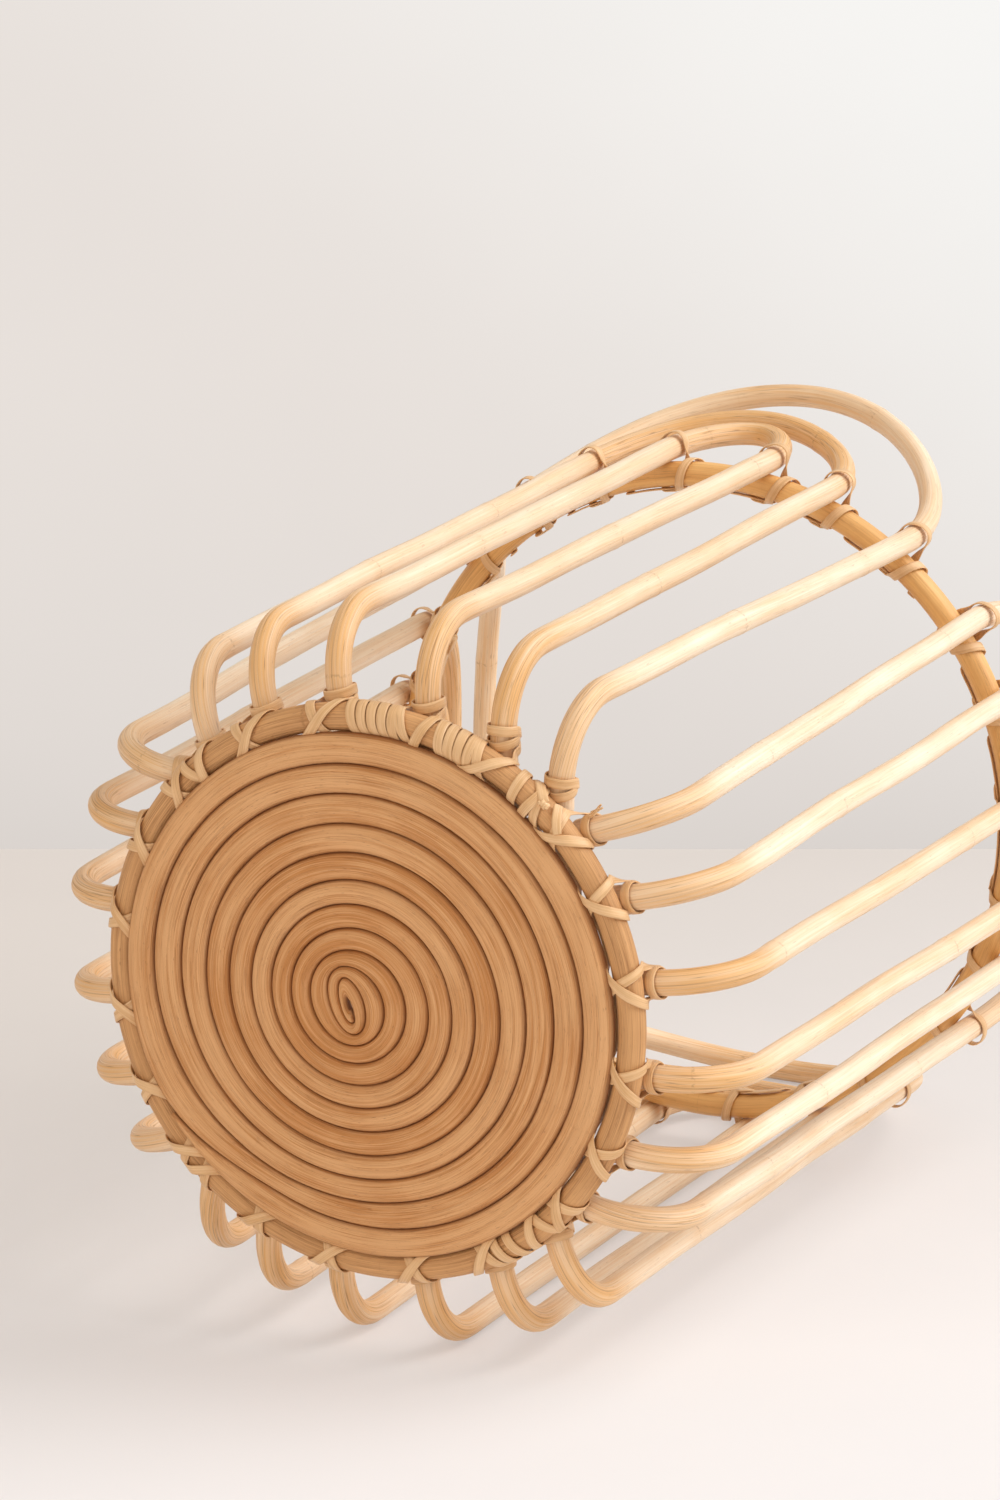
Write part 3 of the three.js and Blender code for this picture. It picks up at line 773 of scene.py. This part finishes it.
def strip_surface(plan, points, faces, tint, width=1.0):
    """A flat strip through its stations: curves through the points and the ways its outer face looks, and a
    rounded flat profile carried along, its width times the given one and a slow change of 6 percent"""
    path = through(points, steps=4)
    looks = through(faces, steps=4)
    at = lengths_along(path)
    even = np.linspace(0, at[-1], max(int(at[-1] / STRIP_STEP), 8))
    path = softened(read_along(path, even), reach=0.8)
    looks = softened(np.stack([np.interp(even, at, looks[:, k]) for k in range(3)], axis=1), reach=1.0)
    half_out, half_across = plan.sizes.strip_thickness / 2, plan.sizes.strip_width / 2
    profile = superellipse(half_out, half_across, power=3.2, count=STRIP_AROUND)
    width = width * (1 + drifting(even, len(points), wave=0.03, size=0.06))
    profile = profile[None] * np.stack([np.ones_like(width), width], axis=-1)[:, None]
    return carried(path, looks, profile, rounding=STRIP_ROUNDING, tint=tint)


def base_lashing(plan, ring, rib, rng, room):
    """A lashing on the base ring: its stations, and how far it reaches along the ring before and after the
    rib. The strip leaves the ring's inner side before the rib, goes across under the ring to the rib's far
    side, turns round the rib next to the ring, over, under and over again, and comes back under the ring
    beneath its first strand. Across the ring, with t from 0 inside to 1 outside, the first strand's place
    along the ring is out - (out + start) (1 - t)^1.7, and the second's -out + 1.3 out (1 - t)^1.5."""
    crossed = rib.number == CROSSED_RIB
    out = LASH_OUT + rng.uniform(-0.0003, 0.0005)
    start = min(LASH_START + rng.uniform(-0.002, 0.002), room - LASH_RUN)
    shift = ring.hug * sin(radians(FOOT_TWIST))
    t = np.linspace(0, 1, 12)
    section = LASH_FROM + LASH_SWEEP * t
    over = LASH_OVER * smoothstep(0.05, 0.2, t) * (1 - smoothstep(0.5, 0.7, t))
    reach = -0.9 * out if crossed else out
    there = shift + reach - (reach + start) * (1 - t) ** 1.7
    into = on_ring(ring, rib.angle, there, section - 40 * crossed * t, over)
    turns = LASHING_TURNS.get(rib.number, 1)
    around = np.arange(215 if crossed else -15, 360 * turns + 176, 19.0)
    at = np.interp(around, *BAND_PLACES_MM[turns]) / 1000 + rng.uniform(-0.0001, 0.0005)
    late = around - 360 * turns
    stand = 0.0002 + 0.0003 * np.sin(np.radians(around)) ** 2
    stand = stand + LASH_CROSSING * smoothstep(10, 70, late) * (1 - 0.8 * smoothstep(110, 170, late))
    bands = round_rib(plan, rib, at, around, stand)
    back = shift - out - 0.0003 + 1.3 * out * (1 - t[::-1]) ** 1.5
    out_of = on_ring(ring, rib.angle, back, section[::-1])
    return [into, bands, out_of], start - shift + 0.001, shift + 0.3 * out + 0.001


def top_lashing(plan, ring, rib, rng, room):
    """A lashing on the top ring, in the same values: once round the bare ring on a slant, on under the rib
    along the ring's inner side, up and loosely over the rib just past the ring, and back down to the ring's
    inner side before the rib. Any room will do for it."""
    turned = np.arange(0, 341, 20.0)
    turn_arc = TURN_START + rng.uniform(-0.001, 0.0008) + TURN_PITCH * turned / 360
    turn = on_ring(ring, rib.angle, turn_arc, ring.run + turned, 0.0004 * np.sin(np.radians(turned / 2)))
    under = on_ring(ring, rib.angle, [-0.0035, 0.0, 0.0035], [-88, -90, -88], LOOP_UNDER)
    section = np.array([-75, -52, -29, -6, 17.0])
    arc = 0.0052 + 0.0018 * smoothstep(-75, 17, section)
    up = on_ring(ring, rib.angle, arc, section)
    around = np.arange(-8, 190, 18.0)
    at = LOOP_PLACE + rng.uniform(-0.0004, 0.0006) + 0.0006 * np.sin(np.radians(around))
    loose = rng.uniform(0.0012, 0.0024)
    stand = 0.0003 + loose * np.exp(-(((around - LOOSE_ANGLE) / LOOSE_SPREAD) ** 2))
    loop = round_rib(plan, rib, at, around, stand)
    down = on_ring(ring, rib.angle, -arc[::-1], section[::-1])
    return [turn, under, up, loop, down], TURN_BEFORE, 0.0


def binding_surface(plan, ring, numbers, seed):
    """One strip that binds a row of ribs, running along the ring's side between the lashings, with turns
    round the bare ring after some of them"""
    rng = np.random.default_rng(seed)
    lash, wraps = (base_lashing, BASE_WRAPS_MM) if ring.name == "base" else (top_lashing, {})
    stations = []
    end_at, room = None, 1.0
    for number in numbers:
        rib = rib_beyond(plan, ring, number)
        if end_at is not None:
            room = ((ring.way * (rib.angle - end_at)) % (2 * pi)) * ring.radius
        lashing, before, after = lash(plan, ring, rib, rng, room)
        if end_at is not None:
            count = max(round((room - before) / RUN_STEP), 1)
            arcs = (room - before) * np.arange(1, count) / count
            stations.append(on_ring(ring, end_at, arcs, ring.run))
        stations += lashing
        if number in wraps:
            first_arc, pitch, turns = wraps[number]
            turned = np.arange(0, turns * 360 + 1, 18.0)
            arc = (first_arc + pitch * turned / 360 + 0.6 * np.cos(np.radians(turned))) / 1000
            stations.append(on_ring(ring, rib.angle, arc, ring.run - turned))
            after = (first_arc + pitch * turns + 1) / 1000
        end_at = rib.angle + ring.way * after / ring.radius
    points, faces = (np.concatenate(each) for each in zip(*stations))
    return strip_surface(plan, points, faces, rng.uniform(0.2, 0.8))


def under_ring(ring, ring_angle, *places_mm):
    """Points by the base ring: so far along it from the angle, outward from its middle and down from there"""
    arc, outward, drop = (each / 1000 for each in np.broadcast_arrays(*places_mm))
    return polar(ring.radius + outward, ring_angle + ring.way * arc / ring.radius, ring.height - drop)


def knot_surfaces(plan, ring):
    """Where two strips are joined, next to the crossed rib: a loop over the ring into the knot, three narrow
    turns round the strips that it gathers, and the strip's cut end over the ring. The loop and the cut end
    look outward and turn towards straight down by a share that grows along them."""
    angle = rib_beyond(plan, ring, CROSSED_RIB).angle
    out = polar(1, angle, 0)

    def turning_down(places_mm, low, high, tint, width):
        points = under_ring(ring, angle, *places_mm)
        share = np.linspace(low, high, len(points))[:, None]
        return strip_surface(plan, points, unit(out * (1 - share) - UP * share), tint, width)

    turn = np.radians(np.arange(0, 1100, 30.0))
    core = under_ring(ring, angle, -5.4 + 3.4 * turn / turn[-1], 5.9, 6.8)
    across = unit(np.cross(core[-1] - core[0], -UP))
    spin = np.sin(turn)[:, None] * across - np.cos(turn)[:, None] * UP
    wide = (0.0016 + 0.0005 * np.sin(2.3 * turn))[:, None]
    return [
        turning_down(KNOT_LOOP_MM, low=0.2, high=0.75, tint=0.4, width=1.0),
        strip_surface(plan, core + wide * spin * (1, 1, 0.85), spin, tint=0.3, width=0.42),
        turning_down(KNOT_END_MM, low=0.3, high=0.95, tint=0.6, width=0.9),
    ]


def frayed_surfaces(plan, ring):
    """The frayed tail of a strip: thin fibres that part from each other and curl"""
    rib = rib_beyond(plan, ring, FRAYED_RIB)
    rng = np.random.default_rng(FRAYED_SEED)
    share = np.linspace(0, 1, 8)
    surfaces = []
    for fibre in range(FRAYED_FIBRES):
        at = 0.0105 + rng.uniform(0.004, 0.0075) * share
        around = 196 + rng.uniform(-16, 16) * share + 12 * np.sin(4 * share + fibre)
        lift = 0.0004 + rng.uniform(0.0008, 0.0034) * share**1.5 + 0.0003 * fibre
        surfaces.append(strip_surface(plan, *round_rib(plan, rib, at, around, lift), 0.9, width=0.16))
    return surfaces


# Materials


def empty_material(name):
    """A material without nodes"""
    material = bpy.data.materials.new(name)
    material.use_nodes = True
    material.node_tree.nodes.clear()
    return material


def node(tree, kind, inputs=None, **settings):
    """A node with its settings made, its inputs joined where a socket is given, and set where a value is"""
    made = tree.nodes.new("ShaderNode" + kind)
    for key, value in settings.items():
        setattr(made, key, value)
    for key, value in (inputs or {}).items():
        if isinstance(value, bpy.types.NodeSocket):
            tree.links.new(value, made.inputs[key])
        else:
            made.inputs[key].default_value = value
    return made


def worked(tree, operation, *values):
    """The result of one operation on values"""
    return node(tree, "Math", dict(enumerate(values)), operation=operation).outputs[0]


def multiply(tree, first, second):
    """Product of two values"""
    return worked(tree, "MULTIPLY", first, second)


def add(tree, first, *others):
    """Sum of several values"""
    for other in others:
        first = worked(tree, "ADD", first, other)
    return first


def band(tree, value, low, high, to_low=0.0, to_high=1.0):
    """The value's place between low and high, kept between the two results"""
    inputs = {"Value": value, "From Min": low, "From Max": high, "To Min": to_low, "To Max": to_high}
    return node(tree, "MapRange", inputs, clamp=True).outputs[0]


def blend_colours(tree, share, first, second):
    """The first colour where the share is 0, the second where it is 1"""
    return node(tree, "Mix", {0: share, 6: first, 7: second}, data_type="RGBA").outputs[2]


def blend_shaders(tree, share, first, second):
    """The first shader where the share is 0, the second where it is 1"""
    return node(tree, "MixShader", {0: share, 1: first, 2: second}).outputs[0]


def attribute(tree, name, output="Fac"):
    """One of the piece's own attributes"""
    return node(tree, "Attribute", attribute_name=name).outputs[output]


def noise(tree, place, scale, detail, roughness=0.5):
    """Noise at a place, with as many waves a metre as its scale"""
    inputs = {"Vector": place, "Scale": scale, "Detail": detail, "Roughness": roughness}
    return node(tree, "TexNoise", inputs).outputs[0]


def squeezed_noise(tree, grain, across, longer, detail, roughness=0.5):
    """Noise with so many waves a metre across the grain, each so many times longer along it"""
    place = node(tree, "Mapping", {"Vector": grain, "Scale": (across / longer, across, across)}).outputs[0]
    return noise(tree, place, 1.0, detail, roughness)


def seen_rays(tree):
    """1 for a ray that the camera sees, straight, in a gloss or through glass, and 0 for others"""
    rays = node(tree, "LightPath").outputs
    return add(tree, rays["Is Camera Ray"], rays["Is Glossy Ray"], rays["Is Transmission Ray"])


def rattan(
    name, colours, kind, streak, contrast, clouds, lines, pores, rings, roughness, relief,
    groove_shade=0.0, bend_lines=0.8, tinting=0.1,
):
    """Rattan: streaks along the grain between a pale and a warm colour, slow blotches, thin dark fibre lines,
    short pores, and growth rings as faint dotted lines. The grain attribute is squeezed along the pole, so
    that noise read from it comes out as long streaks about the given width across. A fibre line runs where a
    noise crosses its middle value. The tint attribute makes a pole paler or warmer by the tinting. The strain
    attribute brings out the warm colour and, with its square times the bend lines, the fibre lines in the
    bends, and where a groove share is given, painted shade in the pore colour in the grooves between the
    strands."""
    material = empty_material(name)
    tree = material.node_tree
    pale, warm = (*getattr(colours, kind + "_pale"), 1), (*getattr(colours, kind + "_warm"), 1)
    pore_and_groove_shade = (*colours.pore_and_groove_shade, 1)
    grain = attribute(tree, "grain", "Vector")
    tint, strain = attribute(tree, "tint"), attribute(tree, "strain")
    fine = 1 / streak
    streaks = squeezed_noise(tree, grain, fine, longer=90, detail=3.0, roughness=0.6)
    bands = squeezed_noise(tree, grain, fine / 4.5, longer=22, detail=2.0)
    thin = squeezed_noise(tree, grain, fine * 0.75, longer=60, detail=1.5)
    dashes = squeezed_noise(tree, grain, fine * 1.3, longer=9, detail=2.0)
    dots = squeezed_noise(tree, grain, 700.0, longer=1.4, detail=1.0)
    blotches = noise(tree, grain, scale=24.0, detail=3.0)
    mixed = add(
        tree,
        band(tree, streaks, *NOISE_SPREAD, -contrast, contrast),
        band(tree, bands, *NOISE_SPREAD, -clouds, clouds),
        band(tree, blotches, *NOISE_SPREAD, -0.7 * clouds, 0.7 * clouds),
        band(tree, tint, 0.0, 1.0, MEAN_WARMTH - tinting, MEAN_WARMTH + tinting),
        multiply(tree, strain, BEND_WARMTH),
    )
    paint = blend_colours(tree, band(tree, mixed, 0.0, 1.0), pale, warm)
    crossing = worked(tree, "ABSOLUTE", worked(tree, "SUBTRACT", thin, 0.5))
    bent = multiply(tree, multiply(tree, strain, strain), bend_lines)
    patchy = add(tree, band(tree, bands, 0.36, 0.6, 0.25, 1.0), bent)
    line_share = multiply(tree, band(tree, crossing, 0.004, 0.03, lines, 0.0), patchy)
    paint = blend_colours(tree, line_share, paint, pore_and_groove_shade)
    dash_share = band(tree, dashes, 0.66, 0.76, 0.0, pores)
    paint = blend_colours(tree, dash_share, paint, pore_and_groove_shade)
    from_ring = worked(tree, "ABSOLUTE", attribute(tree, "growth"))
    ring_line = band(tree, from_ring, 0.0003, 0.0010, rings, 0.0)
    paint = blend_colours(tree, multiply(tree, ring_line, band(tree, dots, 0.48, 0.6)), paint, pore_and_groove_shade)
    paint = blend_colours(tree, band(tree, from_ring, 0.001, 0.008, 0.3 * rings, 0.0), paint, warm)
    # Painted shade: the grooves between the spiral's strands are darkened towards the pore colour
    paint = blend_colours(tree, multiply(tree, strain, groove_shade), paint, pore_and_groove_shade)
    heights = ((streaks, 0.8), (line_share, -0.5), (dash_share, -0.4))
    height = add(tree, *(multiply(tree, *each) for each in heights))
    bump = node(tree, "Bump", {"Height": height, "Strength": relief, "Distance": 0.0006}).outputs[0]
    rough = band(tree, streaks, 0.3, 0.7, roughness - 0.07, roughness + 0.1)
    inputs = {"Base Color": paint, "Roughness": rough, "Normal": bump, "Specular IOR Level": 0.5}
    shader = node(tree, "BsdfPrincipled", inputs)
    node(tree, "OutputMaterial", {"Surface": shader.outputs[0]})
    return material


def strip_cane(name, colours):
    """The flat cane of the binding strips: fine rattan without growth rings"""
    return rattan(
        name, colours, "strip", streak=0.0005, contrast=0.2, clouds=0.2, lines=0.25, pores=0.25, rings=0.0,
        roughness=0.45, relief=0.35,
    )


def studio_paint(name, roughness, glow=0.0):
    """Pale paint in the colours of the sheet's paint attribute, seen from its front only. The glow is the
    share of its own colour that the sheet shows the camera and the gloss, whatever light falls on it."""
    material = empty_material(name)
    tree = material.node_tree
    place = node(tree, "TexCoord").outputs["Object"]
    mottle = band(tree, noise(tree, place, scale=6.0, detail=3.0), 0.3, 0.7, 0.985, 1.0)
    grey = node(tree, "CombineXYZ", {key: mottle for key in "XYZ"}).outputs[0]
    inputs = {0: attribute(tree, "paint", "Color"), 1: grey}
    paint = node(tree, "VectorMath", inputs, operation="MULTIPLY").outputs[0]
    inputs = {"Base Color": paint, "Roughness": roughness, "Specular IOR Level": 0.15}
    front = node(tree, "BsdfPrincipled", inputs).outputs[0]
    if glow:
        shine = node(tree, "Emission", {"Color": paint, "Strength": 1.0}).outputs[0]
        front = blend_shaders(tree, multiply(tree, seen_rays(tree), glow), front, shine)
    behind = node(tree, "NewGeometry").outputs["Backfacing"]
    clear = node(tree, "BsdfTransparent").outputs[0]
    node(tree, "OutputMaterial", {"Surface": blend_shaders(tree, behind, front, clear)})
    return material


# Operators


def basket(context):
    """The worked-out basket and its colours"""
    return worked_out(context.scene.basket_sizes), context.scene.basket_colours


class BASKET_OT_spiral(bpy.types.Operator):
    """Winds the spiral base from one pole"""

    bl_idname = "basket.spiral"
    bl_label = "Spiral base"

    def execute(self, context):
        plan, colours = basket(context)
        # The groove share paints shade into the grooves between the spiral's strands
        material = rattan(
            "spiral rattan", colours, "coil", streak=0.0005, contrast=0.38, clouds=0.26, lines=0.3, pores=0.5,
            rings=0.1, roughness=0.6, relief=0.8, groove_shade=0.75, tinting=0.32,
        )
        add_piece("spiral_base", [coil_surface(plan)], material, ["base_spiral"])
        return {"FINISHED"}


class BASKET_OT_rings(bpy.types.Operator):
    """Bends the base ring and the top ring"""

    bl_idname = "basket.rings"
    bl_label = "Rings"

    def execute(self, context):
        plan, colours = basket(context)
        sizes = plan.sizes
        material = rattan(
            "base ring rattan", colours, "ring", streak=0.0007, contrast=0.32, clouds=0.16, lines=0.4,
            pores=0.4, rings=0.3, roughness=0.58, relief=0.8,
        )
        surface = ring_surface(plan, sizes.base_ring_radius, plan.base_z, plan.base_r, BASE_RING_SEED)
        add_piece("ring_base", [surface], material, ["base_ring"])
        material = rattan(
            "top ring rattan", colours, "top", streak=0.0009, contrast=0.2, clouds=0.25, lines=0.3, pores=0.3,
            rings=0.4, roughness=0.45, relief=0.5,
        )
        surface = ring_surface(plan, sizes.top_ring_radius, plan.top_z, plan.top_r, TOP_RING_SEED)
        add_piece("ring_top", [surface], material, ["top_ring"])
        return {"FINISHED"}


class BASKET_OT_rods(bpy.types.Operator):
    """Bends the twelve rods that make the ribs and arches"""

    bl_idname = "basket.rods"
    bl_label = "Rods"

    def execute(self, context):
        plan, colours = basket(context)
        material = rattan(
            "rod rattan", colours, "rod", streak=0.0009, contrast=0.13, clouds=0.09, lines=0.16, pores=0.3,
            rings=0.3, roughness=0.5, relief=0.5, bend_lines=2.3,
        )
        for side, side_name in enumerate(SIDES):
            for level in LEVELS:
                name = f"{side_name}_{level}"
                add_piece(f"arch_{name}", [rod_surface(plan, side, level)], material, [f"rod_{name}"])
        return {"FINISHED"}


class BASKET_OT_base_bindings(bpy.types.Operator):
    """Lashes the ribs to the base ring"""

    bl_idname = "basket.base_bindings"
    bl_label = "Base bindings"

    def execute(self, context):
        plan, colours = basket(context)
        ring = ring_views(plan)[0]
        material = strip_cane("base strip cane", colours)
        for number, (first, count) in enumerate(BASE_ROWS, start=1):
            row = [(first + i) % RIBS for i in range(count)]
            surfaces = [binding_surface(plan, ring, row, BASE_STRIP_SEEDS + number)]
            if row[-1] == CROSSED_RIB:
                surfaces += knot_surfaces(plan, ring)
            if row[0] == FRAYED_RIB:
                surfaces += frayed_surfaces(plan, ring)
            add_piece(f"lashing_base_{number}", surfaces, material, [f"base_binding_{number}"])
        return {"FINISHED"}


class BASKET_OT_top_bindings(bpy.types.Operator):
    """Lashes the ribs to the top ring"""

    bl_idname = "basket.top_bindings"
    bl_label = "Top bindings"

    def execute(self, context):
        plan, colours = basket(context)
        ring = ring_views(plan)[1]
        material = strip_cane("top strip cane", colours)
        for side in range(len(SIDES)):
            row = [side * RIBS_PER_SIDE + i for i in reversed(range(RIBS_PER_SIDE))]
            surface = binding_surface(plan, ring, row, TOP_STRIP_SEEDS + side)
            add_piece(f"lashing_top_{side + 1}", [surface], material, [f"top_binding_{side + 1}"])
        return {"FINISHED"}


def studio_sheet(name, origin, across, along, reach, paint, material):
    """A flat sheet of the studio: origin + a * across + b * along, with a and b on an even grid between the
    limits of its reach, facing across x along. The paint attribute is the paint function's colour at (a,
    b)."""
    lines = SHEET_CELLS + 1
    a, b = np.meshgrid(*(np.linspace(low, high, lines) for low, high in reach), indexing="ij")
    points = np.array(origin) + a[..., None] * np.array(across) + b[..., None] * np.array(along)
    numbers = np.arange(lines * lines).reshape(lines, lines)
    corners = (numbers[:-1, :-1], numbers[1:, :-1], numbers[1:, 1:], numbers[:-1, 1:])
    faces = np.stack(corners, axis=-1).reshape(-1, 4).tolist()
    colours = np.concatenate([paint(a, b), np.ones(a.shape + (1,))], axis=-1)
    sheet = new_object(name, points.reshape(-1, 3), faces, material, paint=colours)
    return sheet


def lowest_along(scene, normal):
    """The least distance of the basket's points along a way"""
    least = []
    for piece in scene.objects:
        if piece.type == "MESH" and not piece.hide_render:
            points = np.empty(3 * len(piece.data.vertices), dtype=np.float32)
            piece.data.vertices.foreach_get("co", points)
            least.append(float((points.reshape(-1, 3) @ normal).min()))
    return min(least)


def soft_sun(name, towards, spread, strength, tone):
    """Even light from one way, given in the camera's right, up and back, as soft as the spread of its disc"""
    data = bpy.data.lights.new(name, "SUN")
    data.energy = strength
    data.angle = radians(spread)
    data.color = tone
    right, up, back = (Vector(way) for way in (CAMERA_RIGHT, CAMERA_UP, CAMERA_BACK))
    way = right * towards[0] + up * towards[1] + back * towards[2]
    lamp = bpy.data.objects.new(name, data)
    lamp.location = way.normalized() * LAMP_DISTANCE
    lamp.rotation_euler = way.to_track_quat("Z", "Y").to_euler()
    bpy.context.scene.collection.objects.link(lamp)


def studio_sky(name):
    """Warm light from all round, and a pale sky where the camera sees it"""
    world = bpy.data.worlds.new(name)
    world.use_nodes = True
    tree = world.node_tree
    tree.nodes.clear()
    room = node(tree, "Background", {"Color": ROOM_TONE, "Strength": ROOM_STRENGTH}).outputs[0]
    sky = node(tree, "Background", {"Color": SKY_TONE, "Strength": SKY_STRENGTH}).outputs[0]
    node(tree, "OutputWorld", {"Surface": blend_shaders(tree, seen_rays(tree), room, sky)})
    return world


class BASKET_OT_stage(bpy.types.Operator):
    """Adds the studio: floor, wall, ground, lamps, sky and the camera at the photograph's angle"""

    bl_idname = "basket.stage"
    bl_label = "Studio"

    def execute(self, context):
        scene = context.scene
        camera = bpy.data.objects.new("camera", bpy.data.cameras.new("camera"))
        camera.data.sensor_fit = "VERTICAL"
        camera.data.sensor_height = CAMERA_SENSOR
        camera.data.lens = CAMERA_LENS
        camera.data.clip_end = 50
        turn = Matrix((CAMERA_RIGHT, CAMERA_UP, CAMERA_BACK)).transposed().to_4x4()
        camera.matrix_world = Matrix.Translation(CAMERA_PLACE) @ turn
        scene.collection.objects.link(camera)
        scene.camera = camera

        normal = np.array(FLOOR_NORMAL) / np.linalg.norm(FLOOR_NORMAL)
        away = unit(-np.array(CAMERA_BACK) + (np.array(CAMERA_BACK) @ normal) * normal)
        across = np.cross(away, normal)
        place = np.array(CAMERA_PLACE)
        below = place - (place @ normal - lowest_along(scene, normal)) * normal
        wall_foot = below + WALL_DISTANCE * away
        colours = scene.basket_colours
        tones = (colours.floor_near, colours.floor_far_shaded, colours.wall_shaded_left, colours.wall_lit_right)
        near, far, left, right = (np.array(tone) for tone in tones)

        def floor_painted_light(a, b):
            """Painted light and shade on the floor: from the darker far tone at the wall's foot to the
            lighter near one towards the camera and the right
            """
            share = smoothstep(-0.1, 1.5, (WALL_DISTANCE - b) + 0.9 * a)[..., None]
            return far + (near - far) * share

        def wall_painted_light(a, b):
            """Painted light and shade on the wall: from the darker left tone to the lighter right one towards
            the top right, and painted shade 12 percent darker at the foot
            """
            share = smoothstep(-0.15, 0.75, 1.1 * a + 1.3 * (b - 0.28))[..., None]
            foot = 1 - 0.12 * np.exp(-np.abs(b) / 0.12)[..., None]
            return (left + (right - left) * share) * foot

        def ground_paint(a, b):
            """The floor's near tone all over"""
            return np.broadcast_to(near, a.shape + (3,))

        wide, square = (-STUDIO_HALF, STUDIO_HALF), (-GROUND_HALF, GROUND_HALF)
        reach = (wide, (-FLOOR_BEHIND, WALL_DISTANCE))
        paint = studio_paint("floor paint", roughness=0.75, glow=FLOOR_GLOW)
        floor = studio_sheet("floor", below, across, away, reach, floor_painted_light, paint)
        reach = (wide, (0.0, WALL_HEIGHT))
        paint = studio_paint("wall paint", roughness=0.9, glow=WALL_GLOW)
        wall = studio_sheet("wall", wall_foot, across, normal, reach, wall_painted_light, paint)
        reach = (square, square)
        paint = studio_paint("ground paint", roughness=0.75)
        ground = studio_sheet("ground", (0, 0, 0), (1, 0, 0), (0, 1, 0), reach, ground_paint, paint)
        for sheet in (floor, wall, ground):
            sheet.visible_shadow = False
            sheet.visible_diffuse = sheet is floor
            sheet.visible_glossy = False
            sheet.visible_transmission = False

        soft_sun("key", *KEY_LAMP)
        soft_sun("fill", *FILL_LAMP)
        scene.world = studio_sky("studio")
        scene.view_settings.view_transform = "Standard"
        return {"FINISHED"}


class BASKET_PT_pieces(bpy.types.Panel):
    """Lists the pieces of the basket in the sidebar"""

    bl_idname = "BASKET_PT_pieces"
    bl_label = "Rattan basket"
    bl_space_type = "VIEW_3D"
    bl_region_type = "UI"
    bl_category = "Basket"

    def draw(self, context):
        layout = self.layout
        for operator in OPERATORS:
            layout.operator(operator.bl_idname)
        for group in (context.scene.basket_sizes, context.scene.basket_colours):
            column = layout.column()
            for key in group.__annotations__:
                column.prop(group, key)


OPERATORS = (
    BASKET_OT_spiral,
    BASKET_OT_rings,
    BASKET_OT_rods,
    BASKET_OT_base_bindings,
    BASKET_OT_top_bindings,
    BASKET_OT_stage,
)
CLASSES = (BasketSizes, BasketColours, *OPERATORS, BASKET_PT_pieces)


def register():
    for each in CLASSES:
        bpy.utils.register_class(each)
    bpy.types.Scene.basket_sizes = bpy.props.PointerProperty(type=BasketSizes)
    bpy.types.Scene.basket_colours = bpy.props.PointerProperty(type=BasketColours)


def unregister():
    del bpy.types.Scene.basket_colours
    del bpy.types.Scene.basket_sizes
    for each in reversed(CLASSES):
        bpy.utils.unregister_class(each)


def main():
    """Builds the basket and the studio"""
    register()
    bpy.ops.basket.spiral()
    bpy.ops.basket.rings()
    bpy.ops.basket.rods()
    bpy.ops.basket.base_bindings()
    bpy.ops.basket.top_bindings()
    bpy.ops.basket.stage()


if __name__ == "__main__":
    main()
